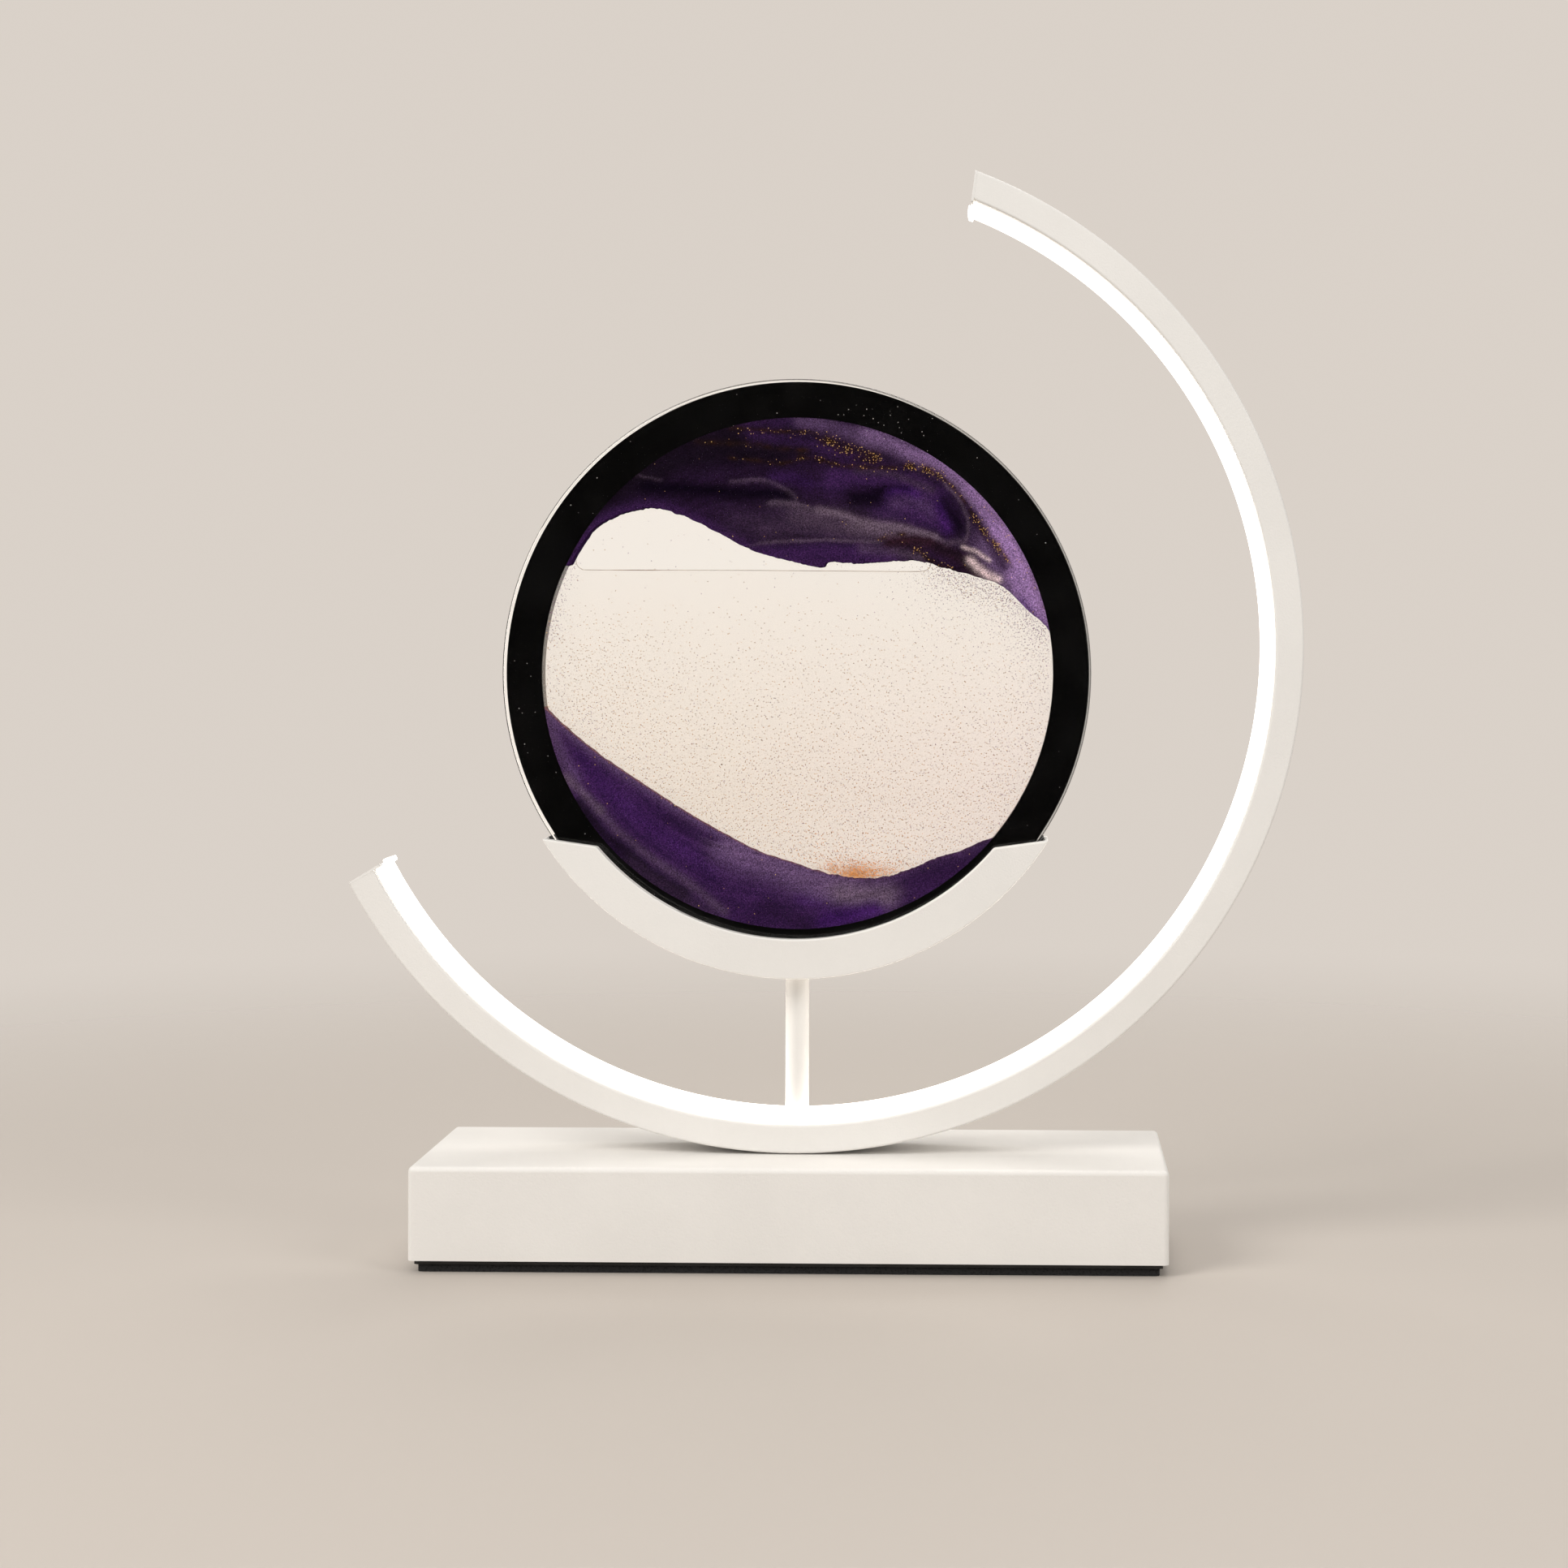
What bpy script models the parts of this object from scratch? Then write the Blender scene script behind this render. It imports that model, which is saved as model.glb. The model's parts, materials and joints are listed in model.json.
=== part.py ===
"""Accent table lamp with a turning sand disc.

A flat steel base carries an open arc of lipped channel with a light strip behind a
diffuser. A round post rises from the foot of the arc to a curved cradle, and a round
glass disc filled with liquid and coloured sand stands in the groove of the cradle,
where it can be turned by hand.

Metres, +Z up, front towards -Y. The origin is the middle of the foot pad's underside.
"""
import math

import bmesh
import bpy
from mathutils import Matrix, Vector

# Fits that all the pieces share
GAP = 0.0003
CUT_OVERRUN = 0.002

# Base: a folded steel cover on a steel plate and a foam pad
BASE_WIDTH = 0.2252
BASE_DEPTH = 0.0710
COVER_HEIGHT = 0.0278
COVER_SHEET = 0.0012
COVER_BEND_RADIUS = 0.0016
PLATE_THICKNESS = 0.0010
PLATE_INSET = 0.0016
PLATE_CORNER_RADIUS = 0.0010
PAD_THICKNESS = 0.0020
PAD_INSET = 0.0026

# Arc: a lipped channel bent to a ring that stays open at the upper left
ARC_RADIUS = 0.1542
ARC_DEPTH = 0.0240
ARC_WALL_HEIGHT = 0.0086
ARC_SHEET = 0.0012
ARC_BEND_RADIUS = 0.0008
ARC_LOWER_END = math.radians(-151.9)
ARC_UPPER_END = math.radians(69.4)
ARC_LOWER_CUT_TILT = math.radians(3.4)
ARC_UPPER_CUT_TILT = math.radians(-13.0)

# Diffuser: a crowned silicone cover that snaps in behind the lips
DIFFUSER_WIDTH = 0.0138
DIFFUSER_SIDE = 0.0025
DIFFUSER_CROWN = 0.00125
DIFFUSER_WALL = 0.0010
PLUG_LENGTH = 0.0015
PLUG_PROUD = 0.0003
PLUG_CORNER_RADIUS = 0.0005

# End plates of the channel
END_PLATE_THICKNESS = 0.00075
LOWER_PLATE_REACH = 0.0024
UPPER_PLATE_REACH = 0.0010

# Light strip
STRIP_WIDTH = 0.0100
STRIP_THICKNESS = 0.0005
STRIP_END_MARGIN = 0.0040
LONG_STRIP_START = 0.0145
SHORT_STRIP_START = 0.0065
LED_PITCH = 0.0167
LED_LENGTH = 0.0035
LED_WIDTH = 0.0028
LED_HEIGHT = 0.0008

# Post, from the floor of the channel to the cradle, with a threaded stud below
POST_DIAMETER = 0.00725
STUD_DIAMETER = 0.0050
STUD_END_SHOWING = 0.0015
WASHER_DIAMETER = 0.0100
WASHER_THICKNESS = 0.0010
NUT_ACROSS_FLATS = 0.0080
NUT_THICKNESS = 0.0040

# Sand disc: two glass plates on a black ring
DISC_RADIUS = 0.0899
DISC_THICKNESS = 0.0150
DISC_BELOW_ARC_CENTRE = 0.0085
GLASS_THICKNESS = 0.0040
GLASS_EDGE_BEVEL = 0.0005
RING_INSET = 0.0007
RING_WIDTH = 0.0109
FILL_PLUG_DIAMETER = 0.0024
FILL_PLUG_RECESS = 0.0012

# Cradle: a curved shoe with a groove for the disc, lined with felt
CRADLE_DEPTH = 0.0240
CRADLE_FLOOR = 0.0017
CRADLE_FACE_WIDTH = 0.0120
CRADLE_CENTRE_DROP = 0.0016
CRADLE_LIP_RADIUS = 0.0010
CRADLE_OUTER_HALF_SPAN = math.radians(57.6)
CRADLE_INNER_HALF_SPAN = math.radians(49.7)
GROOVE_SIDE_PLAY = 0.0005
FELT_THICKNESS = 0.0006
FELT_PEEP = 0.0020

# Countersunk screw that holds the cradle on the post
CRADLE_SCREW_DIAMETER = 0.0030
CRADLE_SCREW_HEAD_DIAMETER = 0.0052
CRADLE_SCREW_HEAD_HEIGHT = 0.0010
CRADLE_SCREW_LENGTH = 0.0100

# Pan head screws of the base and the arc
SCREW_DIAMETER = 0.0030
SCREW_HEAD_DIAMETER = 0.0056
SCREW_HEAD_HEIGHT = 0.0016
SCREW_HEAD_ROUNDING = 0.0005
COVER_SCREW_LENGTH = 0.0080
ARC_SCREW_OFFSET = 0.0200
ARC_SCREW_TIP_RECESS = 0.0004

# Standoffs welded under the cover's top, one in each corner
STANDOFF_ACROSS_FLATS = 0.0070
STANDOFF_FROM_SIDE = 0.0090
STANDOFF_BORE_EXTRA_DEPTH = 0.0020

# Ballast block on the bottom plate, between the left wall and the driver board
BALLAST_HEIGHT = 0.0100
BALLAST_FROM_LEFT = 0.0200
BALLAST_TO_BOARD = 0.0186
BALLAST_BEHIND_FRONT = 0.0090
BALLAST_FROM_REAR = 0.0140
BALLAST_EDGE_BEVEL = 0.0008
BALLAST_SCREW_FROM_END = 0.0160

# Driver board, to the right of the ballast
BOARD_LENGTH = 0.0440
BOARD_DEPTH = 0.0320
BOARD_THICKNESS = 0.0016
BOARD_FROM_RIGHT = 0.0206
BOARD_AHEAD_OF_MIDDLE = 0.0020
BOARD_LIFT = 0.0050
BOARD_SPACER_DIAMETER = 0.0050
BOARD_SPACER_PIN_DIAMETER = 0.0024
BOARD_SPACER_INSET = 0.0040
CONNECTOR_LENGTH = 0.0050
CONNECTOR_DEPTH = 0.0060
CONNECTOR_HEIGHT = 0.0050
CONNECTOR_EDGE_MARGIN = 0.0006
CONNECTOR_SPACING = 0.0140
COIL_DIAMETER = 0.0080
COIL_HEIGHT = 0.0045
CAPACITOR_DIAMETER = 0.0063
CAPACITOR_HEIGHT = 0.0077
CHIP_LENGTH = 0.0060
CHIP_DEPTH = 0.0050
CHIP_HEIGHT = 0.0016
COIL_PLACE_SHARES = (0.42, 0.30)
CAPACITOR_PLACE_SHARES = (0.42, 0.72)
CHIP_PLACE_SHARES = (0.70, 0.45)

# Power inlet: a round low-voltage socket through the rear wall
INLET_FLANGE_DIAMETER = 0.0115
INLET_FLANGE_THICKNESS = 0.0014
INLET_BODY_DIAMETER = 0.0090
INLET_BODY_LENGTH = 0.0130
INLET_BORE_DIAMETER = 0.0062
INLET_BORE_DEPTH = 0.0095
INLET_PIN_DIAMETER = 0.0020
INLET_PIN_RECESS = 0.0010
INLET_BELOW_CEILING = 0.0112
INLET_TAB_WIDTH = 0.0020
INLET_TAB_THICKNESS = 0.0006
INLET_TAB_LENGTH = 0.0040
INLET_TAB_OFFSET = 0.0018
INLET_NUT_ACROSS_FLATS = 0.0120
INLET_NUT_THICKNESS = 0.0025

# Wires and the bush that leads them from the base into the arc
WIRE_DIAMETER = 0.0012
WIRE_HALF_SPACING = 0.00075
JUMPER_DIAMETER = 0.0008
BUSH_OFFSET = 0.0110
BUSH_DIAMETER = 0.0044
BUSH_BORE = 0.0032
BUSH_FLANGE_DIAMETER = 0.0068
BUSH_FLANGE_THICKNESS = 0.0008
BUSH_SHOWING = 0.0008

STRIP_WIRE_RISE = 0.0018
STRIP_WIRE_CREST = 0.0025
STRIP_WIRE_END_LIFT = 0.0007
STRIP_WIRE_OVERLAP = 0.0024
INLET_WIRE_STRAIGHT = 0.0024
JUMPER_OVERLAP = 0.0024
# Way from the board to the bush, as shares of the run, of the depth left and of the rise
STRIP_WIRE_ROUTE_SHARES = [
    (0.0, 1.0, 0.0), (0.12, 1.0, 0.0), (0.45, 0.8, 0.10), (0.80, 0.3, 0.35), (0.95, 0.05, 0.65),
]
# Way from the inlet to the board, as shares of the run, of the depth left and of the rise
INLET_WIRE_ROUTE_SHARES = [
    (0.12, 0.2, 0.0), (0.35, 0.0, 0.25), (0.65, 0.0, 0.8), (0.88, 0.0, 1.0), (1.0, 0.0, 1.0),
]

# Number of steps that round shapes are made in
ARC_STEPS = 48
CRADLE_STEPS = 28
GROOVE_STEPS = 112
DISC_STEPS = 80
FELT_STEPS = 24
POST_STEPS = 20
SCREW_STEPS = 12
ROUNDING_STEPS = 2
CROWN_STEPS = 4
EDGE_SPAN_STEPS = 3
WIRE_SPAN_STEPS = 2
WIRE_BEVEL_RESOLUTION = 2
JUMPER_STEPS = 3
HEXAGON_SIDES = 6
ROUND_PROFILE = 0.5

# Levels and radii that follow from the sizes above
PLATE_BOTTOM = PAD_THICKNESS + GAP
PLATE_TOP = PLATE_BOTTOM + PLATE_THICKNESS
COVER_BOTTOM = PLATE_TOP + GAP
BASE_TOP = COVER_BOTTOM + COVER_HEIGHT
CEILING = BASE_TOP - COVER_SHEET
ARC_CENTRE_Z = BASE_TOP + GAP + ARC_RADIUS
CHANNEL_FLOOR_RADIUS = ARC_RADIUS - ARC_SHEET
LIP_RADIUS = ARC_RADIUS - ARC_WALL_HEIGHT
LIP_UNDERSIDE_RADIUS = LIP_RADIUS + ARC_SHEET
DIFFUSER_SHOULDER_RADIUS = LIP_RADIUS - DIFFUSER_SIDE
DIFFUSER_CROWN_RADIUS = DIFFUSER_SHOULDER_RADIUS - DIFFUSER_CROWN
STRIP_OUTER_RADIUS = CHANNEL_FLOOR_RADIUS - GAP
STRIP_INNER_RADIUS = STRIP_OUTER_RADIUS - STRIP_THICKNESS
DISC_AXIS_Z = ARC_CENTRE_Z - DISC_BELOW_ARC_CENTRE
RING_RADIUS = DISC_RADIUS - RING_INSET
WINDOW_RADIUS = RING_RADIUS - RING_WIDTH
CHAMBER_HALF_DEPTH = DISC_THICKNESS / 2 - GLASS_THICKNESS - GAP
FELT_RADIUS = DISC_RADIUS + GAP
GROOVE_RADIUS = FELT_RADIUS + FELT_THICKNESS + GAP
GROOVE_WIDTH = DISC_THICKNESS + 2 * GROOVE_SIDE_PLAY
CRADLE_RADIUS = GROOVE_RADIUS + CRADLE_FLOOR - CRADLE_CENTRE_DROP
CRADLE_LIP_CIRCLE = CRADLE_RADIUS - CRADLE_FACE_WIDTH
CRADLE_CENTRE_Z = DISC_AXIS_Z - CRADLE_CENTRE_DROP

# Edge of the upper sand from left to right, as shares of the window radius (x, z)
UPPER_SAND_EDGE_SHARES = [
    (-0.890, 0.420), (-0.865, 0.475), (-0.795, 0.570), (-0.684, 0.627), (-0.557, 0.646),
    (-0.431, 0.608), (-0.304, 0.545), (-0.178, 0.481), (-0.019, 0.437), (0.091, 0.415),
    (0.125, 0.438), (0.234, 0.431), (0.455, 0.443), (0.582, 0.412), (0.693, 0.383),
    (0.803, 0.342), (0.898, 0.253), (0.970, 0.174),
]
# Edge of the settled sand from left to right, as shares of the window radius (x, z)
LOWER_SAND_EDGE_SHARES = [
    (-0.980, -0.136), (-0.905, -0.215), (-0.779, -0.316), (-0.652, -0.402), (-0.526, -0.484),
    (-0.399, -0.563), (-0.272, -0.633), (-0.146, -0.696), (-0.019, -0.737), (0.076, -0.769),
    (0.171, -0.791), (0.266, -0.800), (0.360, -0.791), (0.455, -0.759), (0.550, -0.718),
    (0.645, -0.690), (0.750, -0.640),
]
# Underside of the air bubble that holds the upper sand, as shares of the window radius
BUBBLE_HEIGHT_SHARE = 0.402
BUBBLE_LEFT_SHARE = -0.865
BUBBLE_RIGHT_SHARE = 0.520

# Finishes: colour, roughness, metallic
WHITE_PAINT = ((0.86, 0.85, 0.83), 0.55, 0.0)
BLACK_STEEL = ((0.02, 0.02, 0.02), 0.50, 0.6)
FOAM = ((0.015, 0.015, 0.015), 0.95, 0.0)
ZINC = ((0.62, 0.62, 0.60), 0.35, 1.0)
CAST_STEEL = ((0.16, 0.16, 0.16), 0.60, 1.0)
BOARD_LACQUER = ((0.02, 0.16, 0.07), 0.40, 0.0)
COMPONENT_BLACK = ((0.03, 0.03, 0.03), 0.50, 0.0)
SOCKET_BLACK = ((0.02, 0.02, 0.02), 0.45, 0.0)
NYLON = ((0.80, 0.79, 0.74), 0.50, 0.0)
SILICONE = ((0.95, 0.94, 0.90), 0.45, 0.0)
STRIP_FLEX = ((0.88, 0.87, 0.82), 0.45, 0.0)
WIRE_RED = ((0.55, 0.03, 0.03), 0.45, 0.0)
WIRE_WHITE = ((0.80, 0.80, 0.78), 0.45, 0.0)
FELT = ((0.02, 0.02, 0.02), 0.98, 0.0)
CLEAR_GLASS = ((0.93, 0.96, 0.95), 0.03, 0.0)
BLACK_ENAMEL = ((0.005, 0.005, 0.005), 0.10, 0.0)
CLEAR_LIQUID = ((0.94, 0.90, 0.86), 0.05, 0.0)
PURPLE_SAND = ((0.11, 0.05, 0.26), 0.80, 0.0)
RUBBER = ((0.03, 0.03, 0.03), 0.75, 0.0)

SMOOTH_BELOW = math.radians(32)


def clear_objects():
    for obj in list(bpy.data.objects):
        bpy.data.objects.remove(obj, do_unlink=True)


def give_finish(obj, finish):
    """Gives an object its own plain material."""
    colour, roughness, metallic = finish
    made = bpy.data.materials.new(obj.name + "_finish")
    made.use_nodes = True
    shader = made.node_tree.nodes["Principled BSDF"]
    shader.inputs["Base Color"].default_value = (*colour, 1)
    shader.inputs["Roughness"].default_value = roughness
    shader.inputs["Metallic"].default_value = metallic
    obj.data.materials.append(made)


def add_object(name, bm, finish=None, height=0, parent=None):
    """Turns a bmesh into a named object, its faces pointing out and its round sides smooth."""
    bmesh.ops.recalc_face_normals(bm, faces=bm.faces)
    mesh = bpy.data.meshes.new(name)
    bm.to_mesh(mesh)
    bm.free()
    mesh.shade_smooth()
    mesh.set_sharp_from_angle(angle=SMOOTH_BELOW)
    obj = bpy.data.objects.new(name, mesh)
    bpy.context.scene.collection.objects.link(obj)
    obj.location = (0, 0, height)
    obj.parent = parent
    if finish:
        give_finish(obj, finish)
    return obj


def add_axis(name, height):
    """An empty that carries the pieces set out around one centre."""
    axis = bpy.data.objects.new(name, None)
    bpy.context.scene.collection.objects.link(axis)
    axis.location = (0, 0, height)
    return axis


def combine(obj, guide, operation):
    guide.hide_render = True
    guide.display_type = "WIRE"
    modifier = obj.modifiers.new(guide.name, "BOOLEAN")
    modifier.operation = operation
    modifier.solver = "EXACT"
    modifier.object = guide


def cut(obj, cutter):
    combine(obj, cutter, "DIFFERENCE")


def fuse(obj, addition):
    combine(obj, addition, "UNION")


def loft(bm, rings):
    """Joins rings of points, each as long as the last, and closes both ends."""
    rows = [[bm.verts.new(point) for point in ring] for ring in rings]
    count = len(rows[0])
    for row, following in zip(rows, rows[1:]):
        for i in range(count):
            j = (i + 1) % count
            bm.faces.new((row[i], row[j], following[j], following[i]))
    bm.faces.new(rows[0])
    bm.faces.new(rows[-1])


def circle(radius, height, steps):
    turns = [math.tau * i / steps for i in range(steps)]
    return [Vector((radius * math.cos(t), radius * math.sin(t), height)) for t in turns]


def turn(bm, profile, steps, placed=Matrix()):
    """Turns a profile of (radius, height) about Z and closes its two ends with flat faces."""
    loft(bm, [[placed @ p for p in circle(radius, height, steps)] for radius, height in profile])


def turn_ring(bm, profile, steps, placed=Matrix()):
    """Turns a closed profile of (radius, height) that stays clear of the axis about Z."""
    rows = [[bm.verts.new(placed @ p) for p in circle(r, h, steps)] for r, h in profile]
    for row, following in zip(rows, rows[1:] + rows[:1]):
        for i in range(steps):
            j = (i + 1) % steps
            bm.faces.new((row[i], row[j], following[j], following[i]))


def stand_at(x, y, z):
    return Matrix.Translation((x, y, z))


def facing_back(x, y, z):
    """Places a shape turned about Z so that its height runs towards +Y."""
    return Matrix.Translation((x, y, z)) @ Matrix.Rotation(-math.pi / 2, 4, "X")


def hexagon_radius(across_flats):
    return across_flats / math.sqrt(3)


def rod(bm, diameter, bottom, top, steps=SCREW_STEPS, placed=Matrix()):
    turn(bm, [(diameter / 2, bottom), (diameter / 2, top)], steps, placed)


def block(bm, low, high):
    """A box between two corners."""
    corners = [(low[0], low[1]), (high[0], low[1]), (high[0], high[1]), (low[0], high[1])]
    loft(bm, [[Vector((x, y, z)) for x, y in corners] for z in (low[2], high[2])])


def rounded_rectangle(width, depth, radius, steps=ROUNDING_STEPS):
    """Points of a rectangle about the origin with its corners rounded."""
    points = []
    for quarter in range(4):
        middle = math.pi / 4 + quarter * math.pi / 2
        centre_x = math.copysign(width / 2 - radius, math.cos(middle))
        centre_y = math.copysign(depth / 2 - radius, math.sin(middle))
        for i in range(steps + 1):
            t = quarter * math.pi / 2 + i / steps * math.pi / 2
            points.append((centre_x + radius * math.cos(t), centre_y + radius * math.sin(t)))
    return points


def slab(bm, outline, bottom, top):
    loft(bm, [[Vector((x, y, z)) for x, y in outline] for z in (bottom, top)])


def smooth_through(points, steps):
    """Points of a smooth curve through the given ones, with some steps in each span."""
    points = [Vector(p) for p in points]
    before = points[0] * 2 - points[1]
    after = points[-1] * 2 - points[-2]
    run = [before, *points, after]
    made = []
    for a, b, c, d in zip(run, run[1:], run[2:], run[3:]):
        for i in range(steps):
            t = i / steps
            bend = (2 * a - 5 * b + 4 * c - d) * t * t + (3 * b - a - 3 * c + d) * t ** 3
            made.append(b + ((c - a) * t + bend) / 2)
    made.append(points[-1])
    return made


def arc_ring(section, angle, outward=0, tilt=0):
    """A cross-section of (radius, across) set up square to the arc, or tilted and shifted."""
    radial = Vector((math.cos(angle), 0, math.sin(angle)))
    along = Vector((-math.sin(angle), 0, math.cos(angle)))
    ring = []
    for radius, across in section:
        slide = outward + (ARC_RADIUS - radius) * math.tan(tilt)
        ring.append(radial * radius + Vector((0, across, 0)) + along * slide)
    return ring


def lower_end_ring(section, outward):
    return arc_ring(section, ARC_LOWER_END, -outward, -ARC_LOWER_CUT_TILT)


def upper_end_ring(section, outward):
    return arc_ring(section, ARC_UPPER_END, outward, ARC_UPPER_CUT_TILT)


def sweep_whole_arc(bm, section):
    """Runs a cross-section from one tilted end of the arc to the other."""
    inside = -(END_PLATE_THICKNESS + GAP)
    span = ARC_UPPER_END - ARC_LOWER_END
    turns = [ARC_LOWER_END + span * i / ARC_STEPS for i in range(1, ARC_STEPS)]
    middle = [arc_ring(section, angle) for angle in turns]
    loft(bm, [lower_end_ring(section, inside), *middle, upper_end_ring(section, inside)])


def sweep_between(bm, section, start, end, steps):
    turns = [start + (end - start) * i / steps for i in range(steps + 1)]
    loft(bm, [arc_ring(section, angle) for angle in turns])


def foot_angle(offset, radius):
    """The angle of the point on the arc's foot that lies offset to the right of the post."""
    return -math.pi / 2 + math.asin(offset / radius)


def circle_height(offset, radius):
    """How far the foot of a circle lies below its centre, offset to one side."""
    return math.sqrt(radius ** 2 - offset ** 2)


def rounded_corner(radius_at, across_at, inward, side, steps=ROUNDING_STEPS):
    """The rounding of one bend of the channel, from its wall to its floor or lip."""
    centre_radius = radius_at + inward * ARC_BEND_RADIUS
    centre_across = across_at - side * ARC_BEND_RADIUS
    points = []
    for i in range(steps + 1):
        t = i / steps * math.pi / 2
        points.append((centre_radius - inward * ARC_BEND_RADIUS * math.sin(t),
                       centre_across + side * ARC_BEND_RADIUS * math.cos(t)))
    return points


# Base

def standoff_places():
    x = BASE_WIDTH / 2 - STANDOFF_FROM_SIDE
    y = BASE_DEPTH / 2 - STANDOFF_FROM_SIDE
    return [(sx * x, sy * y) for sx in (-1, 1) for sy in (-1, 1)]


def ballast_box():
    seat = PLATE_TOP + GAP
    board_left = board_box()[0][0]
    low = (-BASE_WIDTH / 2 + BALLAST_FROM_LEFT, -BASE_DEPTH / 2 + BALLAST_BEHIND_FRONT, seat)
    high = (board_left - BALLAST_TO_BOARD, BASE_DEPTH / 2 - BALLAST_FROM_REAR,
            seat + BALLAST_HEIGHT)
    return low, high


def ballast_screw_places():
    low, high = ballast_box()
    middle_y = (low[1] + high[1]) / 2
    return [(low[0] + BALLAST_SCREW_FROM_END, middle_y),
            (high[0] - BALLAST_SCREW_FROM_END, middle_y)]


def add_pan_screw(name, under_head, length, x, y, finish):
    """A pan head screw that points up, its head's bearing face at a height."""
    head = SCREW_HEAD_DIAMETER / 2
    bottom = under_head - SCREW_HEAD_HEIGHT
    profile = [
        (head - SCREW_HEAD_ROUNDING, bottom),
        (head, bottom + SCREW_HEAD_ROUNDING),
        (head, under_head),
        (SCREW_DIAMETER / 2, under_head),
        (SCREW_DIAMETER / 2, under_head + length),
    ]
    bm = bmesh.new()
    turn(bm, profile, SCREW_STEPS, stand_at(x, y, 0))
    add_object(name, bm, finish)


def make_base_cover():
    """The folded cover: a box without its floor, bent round its edges, then given its sheet."""
    bm = bmesh.new()
    block(bm, (-BASE_WIDTH / 2, -BASE_DEPTH / 2, COVER_BOTTOM),
          (BASE_WIDTH / 2, BASE_DEPTH / 2, BASE_TOP))
    bmesh.ops.recalc_face_normals(bm, faces=bm.faces)
    floor = min(bm.faces, key=lambda face: face.calc_center_median().z)
    bmesh.ops.delete(bm, geom=[floor], context="FACES_ONLY")
    folds = [e for e in bm.edges if not e.is_boundary]
    bmesh.ops.bevel(bm, geom=folds, offset=COVER_BEND_RADIUS, segments=ROUNDING_STEPS + 1,
                    profile=ROUND_PROFILE, affect="EDGES")
    cover = add_object("base_cover", bm, WHITE_PAINT)
    sheet = cover.modifiers.new("sheet", "SOLIDIFY")
    sheet.thickness = COVER_SHEET
    sheet.offset = -1
    sheet.use_even_offset = True

    holes = bmesh.new()
    foot_bores(holes, CEILING - CUT_OVERRUN, BASE_TOP + CUT_OVERRUN)
    rod(holes, INLET_BODY_DIAMETER + 2 * GAP, -COVER_SHEET - CUT_OVERRUN, CUT_OVERRUN,
        POST_STEPS, facing_back(*inlet_centre()))
    cut(cover, add_object("cover_holes", holes))


def foot_bores(bm, low, high):
    """Rods for the holes that the cover and the channel share: stud, bush and two screws."""
    rod(bm, STUD_DIAMETER + 2 * GAP, low, high, POST_STEPS)
    rod(bm, BUSH_DIAMETER + 2 * GAP, low, high, SCREW_STEPS, stand_at(BUSH_OFFSET, 0, 0))
    for side in (-1, 1):
        rod(bm, SCREW_DIAMETER + 2 * GAP, low, high, SCREW_STEPS,
            stand_at(side * ARC_SCREW_OFFSET, 0, 0))


def make_bottom_plate():
    bm = bmesh.new()
    outline = rounded_rectangle(BASE_WIDTH - 2 * PLATE_INSET, BASE_DEPTH - 2 * PLATE_INSET,
                                PLATE_CORNER_RADIUS)
    slab(bm, outline, PLATE_BOTTOM, PLATE_TOP)
    plate = add_object("bottom_plate", bm, BLACK_STEEL)
    holes = bmesh.new()
    for x, y in standoff_places() + ballast_screw_places():
        rod(holes, SCREW_DIAMETER + 2 * GAP, PLATE_BOTTOM - CUT_OVERRUN, PLATE_TOP + CUT_OVERRUN,
            SCREW_STEPS, stand_at(x, y, 0))
    for x, y in board_spacer_places():
        rod(holes, BOARD_SPACER_PIN_DIAMETER + 2 * GAP, PLATE_BOTTOM - CUT_OVERRUN,
            PLATE_TOP + CUT_OVERRUN, SCREW_STEPS, stand_at(x, y, 0))
    cut(plate, add_object("plate_holes", holes))


def make_foot_pad():
    bm = bmesh.new()
    outline = rounded_rectangle(BASE_WIDTH - 2 * PAD_INSET, BASE_DEPTH - 2 * PAD_INSET,
                                PLATE_CORNER_RADIUS)
    slab(bm, outline, 0, PAD_THICKNESS)
    pad = add_object("foot_pad", bm, FOAM)
    holes = bmesh.new()
    for x, y in standoff_places() + ballast_screw_places():
        rod(holes, SCREW_HEAD_DIAMETER + 2 * GAP, -CUT_OVERRUN, PAD_THICKNESS + CUT_OVERRUN,
            SCREW_STEPS, stand_at(x, y, 0))
    cut(pad, add_object("pad_holes", holes))


def upright_bore(name, x, y):
    """A cutter for a bore that takes a screw from under the bottom plate."""
    bore = bmesh.new()
    top = PLATE_BOTTOM - GAP + COVER_SCREW_LENGTH + STANDOFF_BORE_EXTRA_DEPTH
    rod(bore, SCREW_DIAMETER + 2 * GAP, PLATE_TOP - CUT_OVERRUN, top, SCREW_STEPS,
        stand_at(x, y, 0))
    return add_object(name, bore)


def make_cover_fixings():
    """Hexagonal standoffs under the cover's top, and the screws that hold the plate to them."""
    radius = hexagon_radius(STANDOFF_ACROSS_FLATS)
    for number, (x, y) in enumerate(standoff_places(), 1):
        bm = bmesh.new()
        turn(bm, [(radius, PLATE_TOP + GAP), (radius, CEILING - GAP)], HEXAGON_SIDES,
             stand_at(x, y, 0))
        standoff = add_object(f"cover_standoff_{number}", bm, ZINC)
        cut(standoff, upright_bore(f"standoff_bore_{number}", x, y))
        add_pan_screw(f"bottom_plate_screw_{number}", PLATE_BOTTOM - GAP, COVER_SCREW_LENGTH,
                      x, y, BLACK_STEEL)


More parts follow.
